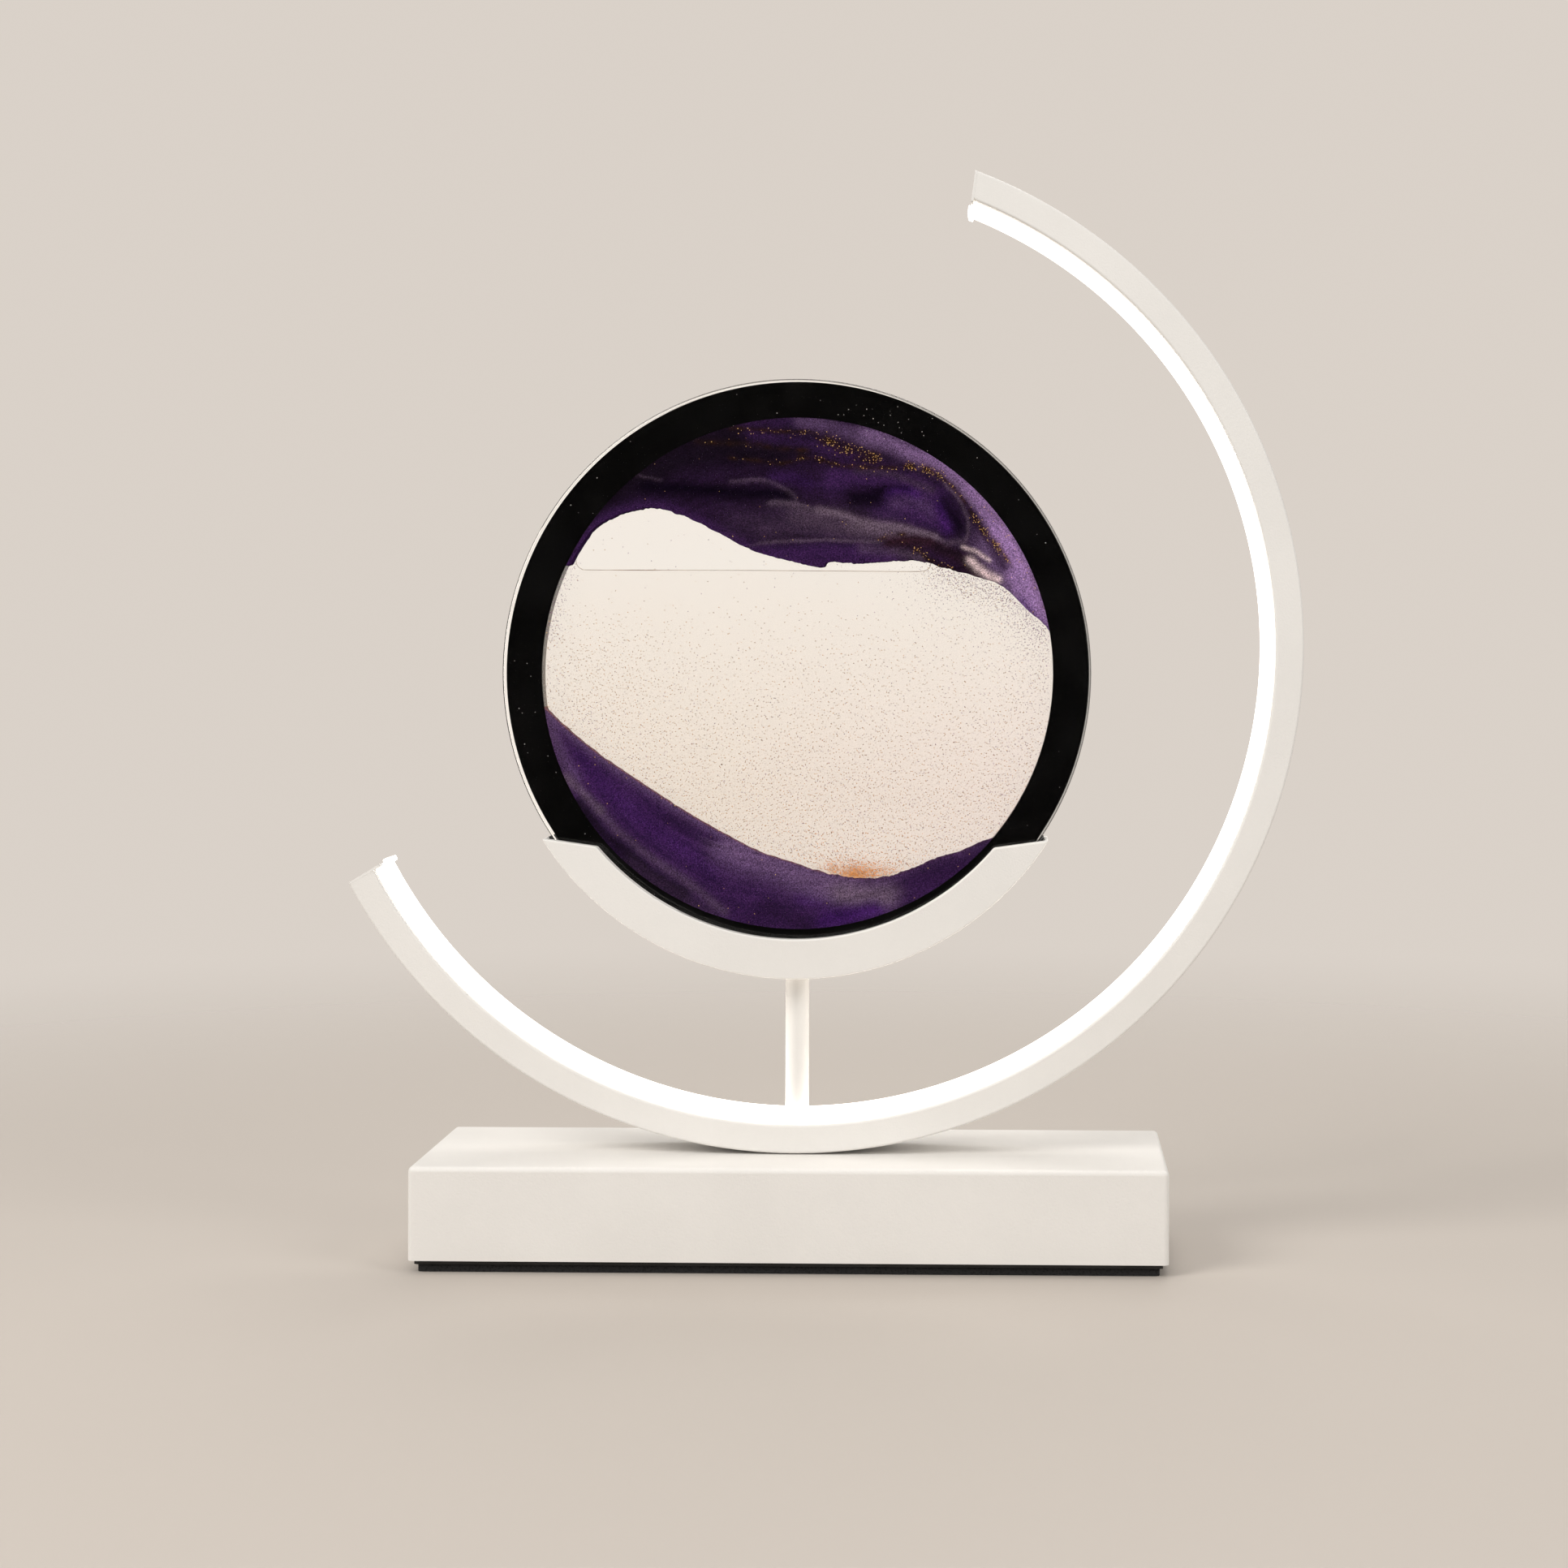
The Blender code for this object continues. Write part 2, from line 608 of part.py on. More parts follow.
def make_ballast():
    low, high = ballast_box()
    bm = bmesh.new()
    block(bm, low, high)
    ballast = add_object("ballast_block", bm, CAST_STEEL)
    edges = ballast.modifiers.new("edges", "BEVEL")
    edges.width = BALLAST_EDGE_BEVEL
    edges.segments = 1
    for number, (x, y) in enumerate(ballast_screw_places(), 1):
        cut(ballast, upright_bore(f"ballast_bore_{number}", x, y))
        add_pan_screw(f"ballast_screw_{number}", PLATE_BOTTOM - GAP, COVER_SCREW_LENGTH,
                      x, y, BLACK_STEEL)


# Driver board

def board_box():
    right = BASE_WIDTH / 2 - BOARD_FROM_RIGHT
    front = -BOARD_DEPTH / 2 - BOARD_AHEAD_OF_MIDDLE
    bottom = PLATE_TOP + GAP + BOARD_LIFT + GAP
    low = (right - BOARD_LENGTH, front, bottom)
    high = (right, front + BOARD_DEPTH, bottom + BOARD_THICKNESS)
    return low, high


def board_spacer_places():
    low, high = board_box()
    return [(low[0] + BOARD_SPACER_INSET, low[1] + BOARD_SPACER_INSET),
            (high[0] - BOARD_SPACER_INSET, high[1] - BOARD_SPACER_INSET)]


def connector_places():
    """Left face, middle depth and middle height of the connectors: the strip's, then the inlet's."""
    low, high = board_box()
    x = low[0] + CONNECTOR_EDGE_MARGIN
    middle_y = (low[1] + high[1]) / 2
    z = high[2] + GAP + CONNECTOR_HEIGHT / 2
    return [Vector((x, middle_y + side * CONNECTOR_SPACING / 2, z)) for side in (-1, 1)]


def make_driver_board():
    low, high = board_box()
    bm = bmesh.new()
    block(bm, low, high)
    board = add_object("driver_board", bm, BOARD_LACQUER)
    holes = bmesh.new()
    body = BOARD_SPACER_DIAMETER / 2
    pin = BOARD_SPACER_PIN_DIAMETER / 2
    for number, (x, y) in enumerate(board_spacer_places(), 1):
        placed = stand_at(x, y, 0)
        rod(holes, BOARD_SPACER_PIN_DIAMETER + 2 * GAP, low[2] - CUT_OVERRUN,
            high[2] + CUT_OVERRUN, SCREW_STEPS, placed)
        profile = [(pin, PLATE_BOTTOM + GAP), (pin, PLATE_TOP + GAP), (body, PLATE_TOP + GAP),
                   (body, low[2] - GAP), (pin, low[2] - GAP), (pin, high[2] + BOARD_THICKNESS)]
        spacer = bmesh.new()
        turn(spacer, profile, SCREW_STEPS, placed)
        add_object(f"board_spacer_{number}", spacer, NYLON)
    cut(board, add_object("board_holes", holes))
    make_board_components(low, high)


def make_board_components(low, high):
    """The connectors, coil, capacitor and chip on the board."""
    seat = high[2] + GAP
    length = high[0] - low[0]
    depth = high[1] - low[1]
    for name, place in zip(("strip_connector", "inlet_connector"), connector_places()):
        bm = bmesh.new()
        block(bm, (place.x, place.y - CONNECTOR_DEPTH / 2, seat),
              (place.x + CONNECTOR_LENGTH, place.y + CONNECTOR_DEPTH / 2, seat + CONNECTOR_HEIGHT))
        add_object(name, bm, NYLON)
    rounds = [
        ("board_coil", COIL_DIAMETER, COIL_HEIGHT, COIL_PLACE_SHARES),
        ("board_capacitor", CAPACITOR_DIAMETER, CAPACITOR_HEIGHT, CAPACITOR_PLACE_SHARES),
    ]
    for name, diameter, height, (x_share, y_share) in rounds:
        bm = bmesh.new()
        rod(bm, diameter, seat, seat + height, POST_STEPS,
            stand_at(low[0] + x_share * length, low[1] + y_share * depth, 0))
        add_object(name, bm, COMPONENT_BLACK)
    x = low[0] + CHIP_PLACE_SHARES[0] * length
    y = low[1] + CHIP_PLACE_SHARES[1] * depth
    bm = bmesh.new()
    block(bm, (x, y, seat), (x + CHIP_LENGTH, y + CHIP_DEPTH, seat + CHIP_HEIGHT))
    add_object("board_chip", bm, COMPONENT_BLACK)


# Power inlet

def inlet_centre():
    return Vector((0, BASE_DEPTH / 2, CEILING - INLET_BELOW_CEILING))


def make_power_inlet():
    """The socket: a flanged barrel through the rear wall, open to the rear round its pin."""
    centre = inlet_centre()
    placed = facing_back(*centre)
    flange_back = GAP + INLET_FLANGE_THICKNESS
    inner_end = flange_back - INLET_FLANGE_THICKNESS - INLET_BODY_LENGTH
    bore_floor = flange_back - INLET_BORE_DEPTH
    body = INLET_BODY_DIAMETER / 2
    flange = INLET_FLANGE_DIAMETER / 2
    bore = INLET_BORE_DIAMETER / 2
    pin = INLET_PIN_DIAMETER / 2
    profile = [
        (body, inner_end), (body, GAP), (flange, GAP), (flange, flange_back),
        (bore, flange_back), (bore, bore_floor), (pin, bore_floor),
        (pin, flange_back - INLET_PIN_RECESS),
    ]
    bm = bmesh.new()
    turn(bm, profile, POST_STEPS, placed)
    add_object("power_inlet", bm, SOCKET_BLACK)

    back = centre.y + inner_end - GAP
    for number, side in enumerate((-1, 1), 1):
        x = side * INLET_TAB_OFFSET
        tab = bmesh.new()
        block(tab, (x - INLET_TAB_THICKNESS / 2, back - INLET_TAB_LENGTH,
                    centre.z - INLET_TAB_WIDTH / 2),
              (x + INLET_TAB_THICKNESS / 2, back, centre.z + INLET_TAB_WIDTH / 2))
        add_object(f"inlet_tab_{number}", tab, ZINC)

    nut = bmesh.new()
    radius = hexagon_radius(INLET_NUT_ACROSS_FLATS)
    top = -COVER_SHEET - GAP
    turn(nut, [(radius, top - INLET_NUT_THICKNESS), (radius, top)], HEXAGON_SIDES, placed)
    nut = add_object("inlet_nut", nut, ZINC)
    bore = bmesh.new()
    rod(bore, INLET_BODY_DIAMETER + 2 * GAP, top - INLET_NUT_THICKNESS - CUT_OVERRUN,
        top + CUT_OVERRUN, POST_STEPS, placed)
    cut(nut, add_object("inlet_nut_bore", bore))


# Arc

def channel_section():
    """The lipped channel in section: floor outside, lips inside, as (radius, across)."""
    half = ARC_DEPTH / 2
    inner_half = half - ARC_SHEET
    mouth_half = DIFFUSER_WIDTH / 2 + GAP
    near = [(LIP_RADIUS, mouth_half)]
    near += rounded_corner(LIP_RADIUS, half, 1, 1)[::-1]
    near += rounded_corner(ARC_RADIUS, half, -1, 1)
    far = [(radius, -across) for radius, across in reversed(near)]
    inside = [
        (LIP_UNDERSIDE_RADIUS, -mouth_half), (LIP_UNDERSIDE_RADIUS, -inner_half),
        (CHANNEL_FLOOR_RADIUS, -inner_half), (CHANNEL_FLOOR_RADIUS, inner_half),
        (LIP_UNDERSIDE_RADIUS, inner_half), (LIP_UNDERSIDE_RADIUS, mouth_half),
    ]
    return near + far + inside


def crown(half_width, shoulder_radius, rise):
    """The crowned inner side of the diffuser, from one shoulder to the other."""
    points = []
    for i in range(CROWN_STEPS + 1):
        t = 1 - 2 * i / CROWN_STEPS
        points.append((shoulder_radius - rise * (1 - t * t), half_width * t))
    return points


def diffuser_section():
    """The diffuser in section: a crowned cover with a flange behind each lip."""
    half = DIFFUSER_WIDTH / 2
    flange_half = ARC_DEPTH / 2 - ARC_SHEET - GAP
    flange_top = LIP_UNDERSIDE_RADIUS + GAP
    flange_bottom = flange_top + DIFFUSER_WALL
    outside = crown(half, DIFFUSER_SHOULDER_RADIUS, DIFFUSER_CROWN)
    inside = crown(half - DIFFUSER_WALL, DIFFUSER_SHOULDER_RADIUS + DIFFUSER_WALL, DIFFUSER_CROWN)
    right = [(flange_bottom, half - DIFFUSER_WALL), (flange_bottom, flange_half),
             (flange_top, flange_half), (flange_top, half)]
    left = [(radius, -across) for radius, across in reversed(right)]
    return right + outside + left + inside[::-1]


def make_arc_channel(centre):
    bm = bmesh.new()
    sweep_whole_arc(bm, channel_section())
    channel = add_object("arc_channel", bm, WHITE_PAINT, parent=centre)
    low = -ARC_RADIUS - CUT_OVERRUN
    high = -circle_height(ARC_SCREW_OFFSET + SCREW_DIAMETER, CHANNEL_FLOOR_RADIUS) + CUT_OVERRUN
    holes = bmesh.new()
    foot_bores(holes, low, high)
    cut(channel, add_object("channel_holes", holes, parent=centre))


def make_diffuser(centre):
    bm = bmesh.new()
    sweep_whole_arc(bm, diffuser_section())
    diffuser = add_object("arc_diffuser", bm, SILICONE, parent=centre)
    low = -DIFFUSER_SHOULDER_RADIUS - DIFFUSER_WALL - CUT_OVERRUN
    high = -DIFFUSER_CROWN_RADIUS + CUT_OVERRUN
    hole = bmesh.new()
    rod(hole, POST_DIAMETER + 2 * GAP, low, high, POST_STEPS)
    cut(diffuser, add_object("diffuser_post_hole", hole, parent=centre))


def end_section(outer_radius, inner_radius, half, corner):
    """An upright rectangle of an end piece, its corners rounded, as (radius, across)."""
    middle = (outer_radius + inner_radius) / 2
    outline = rounded_rectangle(outer_radius - inner_radius, 2 * half, corner)
    return [(middle + x, y) for x, y in outline]


def make_arc_ends(centre):
    """A thin plate over each end of the channel, and a plug over each end of the diffuser."""
    ends = [
        ("lower", lower_end_ring, LOWER_PLATE_REACH),
        ("upper", upper_end_ring, UPPER_PLATE_REACH),
    ]
    for name, ring, reach in ends:
        plate_edge = LIP_RADIUS - reach
        section = end_section(ARC_RADIUS, plate_edge, ARC_DEPTH / 2, ARC_BEND_RADIUS)
        bm = bmesh.new()
        loft(bm, [ring(section, -END_PLATE_THICKNESS), ring(section, 0)])
        add_object("arc_end_plate_" + name, bm, WHITE_PAINT, parent=centre)

        plug_edge = DIFFUSER_CROWN_RADIUS - PLUG_PROUD
        section = end_section(plate_edge - GAP, plug_edge, DIFFUSER_WIDTH / 2, PLUG_CORNER_RADIUS)
        bm = bmesh.new()
        far = PLUG_LENGTH - END_PLATE_THICKNESS
        loft(bm, [ring(section, -END_PLATE_THICKNESS), ring(section, far)])
        add_object("diffuser_plug_" + name, bm, SILICONE, parent=centre)


def strip_runs():
    """First and last angle of the long and the short light strip, away from the post."""
    margin = STRIP_END_MARGIN / STRIP_OUTER_RADIUS
    long_run = (foot_angle(LONG_STRIP_START, STRIP_OUTER_RADIUS), ARC_UPPER_END - margin)
    short_run = (foot_angle(-SHORT_STRIP_START, STRIP_OUTER_RADIUS), ARC_LOWER_END + margin)
    return long_run, short_run


def make_light_strips(centre):
    """The long and the short flexible strip on the channel's floor, each with its lights."""
    half = STRIP_WIDTH / 2
    section = [(STRIP_OUTER_RADIUS, -half), (STRIP_OUTER_RADIUS, half),
               (STRIP_INNER_RADIUS, half), (STRIP_INNER_RADIUS, -half)]
    step = (ARC_UPPER_END - ARC_LOWER_END) / ARC_STEPS
    for name, (start, end) in zip(("led_strip_long", "led_strip_short"), strip_runs()):
        bm = bmesh.new()
        sweep_between(bm, section, start, end, math.ceil(abs(end - start) / step))
        strip = add_object(name, bm, STRIP_FLEX, parent=centre)
        fuse(strip, led_row(name + "_lights", start, end, centre))


def led_row(name, start, end, centre):
    """A block for each light along a strip, the first one half a pitch from its start."""
    bm = bmesh.new()
    root = STRIP_INNER_RADIUS + STRIP_THICKNESS / 2
    face = STRIP_INNER_RADIUS - LED_HEIGHT
    pitch = math.copysign(LED_PITCH / STRIP_INNER_RADIUS, end - start)
    for i in range(math.floor((end - start) / pitch)):
        angle = start + (i + 0.5) * pitch
        turned = Matrix.Rotation(-angle, 4, "Y")
        corners = [(-1, -1), (1, -1), (1, 1), (-1, 1)]
        loft(bm, [[turned @ Vector((radius, v * LED_WIDTH / 2, u * LED_LENGTH / 2))
                   for u, v in corners] for radius in (face, root)])
    return add_object(name, bm, parent=centre)


def make_arc_screws():
    """Screws from inside the base up into the floor of the channel."""
    under_head = CEILING - GAP
    floor = ARC_CENTRE_Z - circle_height(ARC_SCREW_OFFSET, CHANNEL_FLOOR_RADIUS)
    length = floor - ARC_SCREW_TIP_RECESS - under_head
    for number, side in enumerate((-1, 1), 1):
        add_pan_screw(f"arc_screw_{number}", under_head, length, side * ARC_SCREW_OFFSET, 0, ZINC)


# Post and cradle

def make_post():
    """The post with its stud, hollowed on top to sit against the underside of the cradle."""
    foot = ARC_CENTRE_Z - CHANNEL_FLOOR_RADIUS + GAP
    head = CRADLE_CENTRE_Z - circle_height(POST_DIAMETER, CRADLE_RADIUS)
    washer_top = CEILING - GAP
    nut_top = washer_top - WASHER_THICKNESS - GAP
    nut_bottom = nut_top - NUT_THICKNESS
    bm = bmesh.new()
    stud = STUD_DIAMETER / 2
    shank = POST_DIAMETER / 2
    profile = [(stud, nut_bottom - STUD_END_SHOWING), (stud, foot), (shank, foot), (shank, head)]
    turn(bm, profile, POST_STEPS)
    post = add_object("post", bm, WHITE_PAINT)
    seat = bmesh.new()
    rod(seat, 2 * (CRADLE_RADIUS + GAP), -CRADLE_DEPTH / 2, CRADLE_DEPTH / 2, GROOVE_STEPS,
        facing_back(0, 0, CRADLE_CENTRE_Z))
    cut(post, add_object("post_seat", seat))
    bore = bmesh.new()
    top = DISC_AXIS_Z - GROOVE_RADIUS
    rod(bore, CRADLE_SCREW_DIAMETER + 2 * GAP, top - CRADLE_SCREW_LENGTH - CUT_OVERRUN, top,
        SCREW_STEPS)
    cut(post, add_object("post_bore", bore))

    washer = bmesh.new()
    hole = STUD_DIAMETER / 2 + GAP
    rim = WASHER_DIAMETER / 2
    turn_ring(washer, [(hole, washer_top - WASHER_THICKNESS), (rim, washer_top - WASHER_THICKNESS),
                       (rim, washer_top), (hole, washer_top)], POST_STEPS)
    add_object("post_washer", washer, ZINC)
    nut = bmesh.new()
    radius = hexagon_radius(NUT_ACROSS_FLATS)
    turn(nut, [(radius, nut_bottom), (radius, nut_top)], HEXAGON_SIDES)
    nut = add_object("post_nut", nut, ZINC)
    thread = bmesh.new()
    rod(thread, STUD_DIAMETER + 2 * GAP, nut_bottom - CUT_OVERRUN, nut_top + CUT_OVERRUN,
        POST_STEPS)
    cut(nut, add_object("post_nut_bore", thread))


def cradle_outline():
    """The crescent of the cradle about its own centre, in (x, z)."""
    outline = []
    runs = [(CRADLE_RADIUS, CRADLE_OUTER_HALF_SPAN, 1), (CRADLE_LIP_CIRCLE, CRADLE_INNER_HALF_SPAN, -1)]
    for radius, half_span, heading in runs:
        for i in range(CRADLE_STEPS + 1):
            t = heading * half_span * (2 * i / CRADLE_STEPS - 1)
            outline.append((radius * math.sin(t), -radius * math.cos(t)))
    return outline


def make_cradle():
    """The cradle: a crescent with rounded lips, grooved for the disc and bored for its screw."""
    bm = bmesh.new()
    half = CRADLE_DEPTH / 2
    loft(bm, [[Vector((x, y, z)) for x, z in cradle_outline()] for y in (-half, half)])
    cradle = add_object("cradle", bm, WHITE_PAINT, CRADLE_CENTRE_Z)
    lips = cradle.modifiers.new("lips", "BEVEL")
    lips.width = CRADLE_LIP_RADIUS
    lips.segments = ROUNDING_STEPS
    lips.limit_method = "ANGLE"
    lips.angle_limit = SMOOTH_BELOW
    groove = bmesh.new()
    rod(groove, 2 * GROOVE_RADIUS, -GROOVE_WIDTH / 2, GROOVE_WIDTH / 2, GROOVE_STEPS,
        facing_back(0, 0, DISC_AXIS_Z))
    cut(cradle, add_object("cradle_groove", groove))
    space = cradle_screw_profile(GAP)
    head_space = space[-1][0]
    space.append((head_space, DISC_AXIS_Z - GROOVE_RADIUS + CUT_OVERRUN))
    sink = bmesh.new()
    turn(sink, space, SCREW_STEPS)
    cut(cradle, add_object("cradle_sink", sink))


def cradle_screw_profile(margin):
    """The countersunk screw in the floor of the groove, or its space with a margin round it."""
    top = DISC_AXIS_Z - GROOVE_RADIUS
    head = CRADLE_SCREW_HEAD_DIAMETER / 2 + margin
    shank = CRADLE_SCREW_DIAMETER / 2 + margin
    return [(shank, top - CRADLE_SCREW_LENGTH), (shank, top - CRADLE_SCREW_HEAD_HEIGHT - margin),
            (head, top - margin)]


def make_cradle_screw():
    bm = bmesh.new()
    turn(bm, cradle_screw_profile(0), SCREW_STEPS)
    add_object("cradle_screw", bm, ZINC)


def make_cradle_felt(axis):
    """The felt strip in the groove, which peeps out a little at both ends."""
    half = GROOVE_WIDTH / 2 - GAP
    section = [(FELT_RADIUS, -half), (FELT_RADIUS, half),
               (FELT_RADIUS + FELT_THICKNESS, half), (FELT_RADIUS + FELT_THICKNESS, -half)]
    tip_x = CRADLE_RADIUS * math.sin(CRADLE_OUTER_HALF_SPAN)
    tip_drop = CRADLE_RADIUS * math.cos(CRADLE_OUTER_HALF_SPAN) + CRADLE_CENTRE_DROP
    half_span = math.atan2(tip_x, tip_drop) + FELT_PEEP / FELT_RADIUS
    bm = bmesh.new()
    sweep_between(bm, section, -math.pi / 2 - half_span, -math.pi / 2 + half_span, FELT_STEPS)
    add_object("cradle_felt", bm, FELT, parent=axis)


# Sand disc, about its own axis

def make_disc_glass(axis):
    bevel = GLASS_EDGE_BEVEL
    for name, side in (("disc_front_glass", -1), ("disc_back_glass", 1)):
        middle = side * (DISC_THICKNESS - GLASS_THICKNESS) / 2
        low = middle - GLASS_THICKNESS / 2
        high = middle + GLASS_THICKNESS / 2
        bm = bmesh.new()
        profile = [(DISC_RADIUS - bevel, low), (DISC_RADIUS, low + bevel),
                   (DISC_RADIUS, high - bevel), (DISC_RADIUS - bevel, high)]
        turn(bm, profile, DISC_STEPS, facing_back(0, 0, 0))
        add_object(name, bm, CLEAR_GLASS, parent=axis)


def make_disc_ring(axis):
    """The black ring between the glasses, with a plugged filling hole on top."""
    half = CHAMBER_HALF_DEPTH
    bm = bmesh.new()
    turn_ring(bm, [(WINDOW_RADIUS, -half), (RING_RADIUS, -half), (RING_RADIUS, half),
                   (WINDOW_RADIUS, half)], DISC_STEPS, facing_back(0, 0, 0))
    ring = add_object("disc_ring", bm, BLACK_ENAMEL, parent=axis)
    hole = bmesh.new()
    rod(hole, FILL_PLUG_DIAMETER + 2 * GAP, WINDOW_RADIUS - CUT_OVERRUN, RING_RADIUS + CUT_OVERRUN)
    cut(ring, add_object("filling_hole", hole, parent=axis))
    plug = bmesh.new()
    rod(plug, FILL_PLUG_DIAMETER, WINDOW_RADIUS + FILL_PLUG_RECESS, RING_RADIUS - GAP)
    add_object("disc_fill_plug", plug, RUBBER, parent=axis)


def window_arc(start, end):
    """Points on the window's edge from one point to another, clockwise seen from the front."""
    radius = WINDOW_RADIUS - GAP
    first = math.atan2(start[1], start[0])
    last = math.atan2(end[1], end[0])
    while last > first:
        last -= math.tau
    steps = math.ceil((first - last) / math.tau * DISC_STEPS)
    turns = [first + (last - first) * i / steps for i in range(steps + 1)]
    return [Vector((radius * math.cos(t), radius * math.sin(t))) for t in turns]


def sand_edge(shares):
    radius = WINDOW_RADIUS - GAP
    return smooth_through([(x * radius, z * radius) for x, z in shares], EDGE_SPAN_STEPS)


def fill(name, outline, finish, axis):
    """A solid that fills an outline of the chamber between the two glasses."""
    half = CHAMBER_HALF_DEPTH
    bm = bmesh.new()
    loft(bm, [[Vector((p[0], y, p[1])) for p in outline] for y in (-half, half)])
    add_object(name, bm, finish, parent=axis)


def make_disc_filling(axis):
    """Sand held up by the bubble, settled sand below, and the liquid between them."""
    upper = sand_edge(UPPER_SAND_EDGE_SHARES)
    lower = sand_edge(LOWER_SAND_EDGE_SHARES)
    fill("sand_upper", upper[::-1] + window_arc(upper[0], upper[-1])[1:-1], PURPLE_SAND, axis)
    fill("sand_lower", lower + window_arc(lower[-1], lower[0])[1:-1], PURPLE_SAND, axis)

    radius = WINDOW_RADIUS - GAP
    slack = Vector((0, 2 * GAP))
    bubble_left = Vector((BUBBLE_LEFT_SHARE * radius, BUBBLE_HEIGHT_SHARE * radius))
    bubble_right = Vector((BUBBLE_RIGHT_SHARE * radius, BUBBLE_HEIGHT_SHARE * radius))
    under_upper = [p - slack for p in upper if p.x > bubble_right.x]
    over_lower = [p + slack for p in lower]
    outline = [bubble_left, bubble_right, *under_upper]
    outline += window_arc(under_upper[-1], over_lower[-1])[1:-1]
    outline += over_lower[::-1]
    outline += window_arc(over_lower[0], bubble_left)[1:-1]
    fill("disc_liquid", outline, CLEAR_LIQUID, axis)


# Wires

def add_wires(name, diameter, routes, finish):
    """Wires side by side, each a tube along its own smooth route."""
    for number, route in enumerate(routes, 1):
        wire_name = f"{name}_{number}"
        curve = bpy.data.curves.new(wire_name, "CURVE")
        curve.dimensions = "3D"
        curve.bevel_depth = diameter / 2
        curve.bevel_resolution = WIRE_BEVEL_RESOLUTION
        curve.use_fill_caps = True
        points = smooth_through(route, WIRE_SPAN_STEPS)
        spline = curve.splines.new("POLY")
        spline.points.add(len(points) - 1)
        for spot, point in zip(spline.points, points):
            spot.co = (*point, 1)
        wire = bpy.data.objects.new(wire_name, curve)
        bpy.context.scene.collection.objects.link(wire)
        give_finish(wire, finish)


def make_bush():
    """The flanged bush that leads the strip's wires through the cover and the channel."""
    flange_top = CEILING - GAP
    flange_bottom = flange_top - BUSH_FLANGE_THICKNESS
    channel_floor = ARC_CENTRE_Z - circle_height(BUSH_OFFSET, CHANNEL_FLOOR_RADIUS)
    top = channel_floor + BUSH_SHOWING
    bore = BUSH_BORE / 2
    sleeve = BUSH_DIAMETER / 2
    flange = BUSH_FLANGE_DIAMETER / 2
    bm = bmesh.new()
    profile = [(bore, flange_bottom), (flange, flange_bottom), (flange, flange_top),
               (sleeve, flange_top), (sleeve, top), (bore, top)]
    turn_ring(bm, profile, SCREW_STEPS, stand_at(BUSH_OFFSET, 0, 0))
    add_object("wire_bush", bm, RUBBER)
    return flange_bottom, top


def make_strip_wires():
    """Two wires from the board up through the bush to the start of the long strip."""
    bush_bottom, bush_top = make_bush()
    start = connector_places()[0]
    start.x -= GAP
    run = start.x - BUSH_OFFSET
    rise = bush_bottom - start.z
    wire_radius = STRIP_INNER_RADIUS - GAP - WIRE_DIAMETER / 2
    near_x = LONG_STRIP_START + STRIP_WIRE_OVERLAP
    near_z = ARC_CENTRE_Z - circle_height(near_x, wire_radius)
    far_x = near_x + WIRE_DIAMETER
    far_z = ARC_CENTRE_Z - circle_height(far_x, wire_radius)
    routes = []
    for side in (-1, 1):
        y = side * WIRE_HALF_SPACING
        route = [
            (start.x - along * run, start.y * depth + y, start.z + up * rise)
            for along, depth, up in STRIP_WIRE_ROUTE_SHARES
        ]
        route += [
            (BUSH_OFFSET, y, bush_bottom),
            (BUSH_OFFSET, y, bush_top),
            (BUSH_OFFSET + WIRE_DIAMETER / 2, y, bush_top + STRIP_WIRE_RISE),
            ((BUSH_OFFSET + near_x) / 2, y, bush_top + STRIP_WIRE_CREST),
            (near_x, y, near_z + STRIP_WIRE_END_LIFT),
            (far_x, y, far_z),
        ]
        routes.append(route)
    add_wires("strip_wire", WIRE_DIAMETER, routes, WIRE_WHITE)


def make_inlet_wires():
    """Two wires from the inlet's tabs to the board's other connector."""
    centre = inlet_centre()
    start_y = centre.y + GAP - INLET_BODY_LENGTH - GAP - INLET_TAB_LENGTH - GAP
    end = connector_places()[1]
    end.x -= GAP
    routes = []
    for side in (-1, 1):
        x = side * INLET_TAB_OFFSET
        y = end.y + side * WIRE_HALF_SPACING
        route = [(x, start_y, centre.z), (x, start_y - INLET_WIRE_STRAIGHT, centre.z)]
        route += [
            (x + along * (end.x - x), y + depth * (start_y - y), centre.z + up * (end.z - centre.z))
            for along, depth, up in INLET_WIRE_ROUTE_SHARES
        ]
        routes.append(route)
    add_wires("inlet_wire", WIRE_DIAMETER, routes, WIRE_RED)


def make_jumpers():
    """Two thin wires past the post, from the long strip to the short one."""
    radius = STRIP_INNER_RADIUS - GAP - JUMPER_DIAMETER / 2
    across = POST_DIAMETER / 2 + 2 * GAP + JUMPER_DIAMETER / 2
    start = foot_angle(LONG_STRIP_START + JUMPER_OVERLAP, radius)
    end = foot_angle(-SHORT_STRIP_START - JUMPER_OVERLAP, radius)
    turns = [start + (end - start) * i / JUMPER_STEPS for i in range(JUMPER_STEPS + 1)]
    routes = [
        [(radius * math.cos(t), side * across, ARC_CENTRE_Z + radius * math.sin(t)) for t in turns]
        for side in (-1, 1)
    ]
    add_wires("strip_jumper", JUMPER_DIAMETER, routes, WIRE_WHITE)


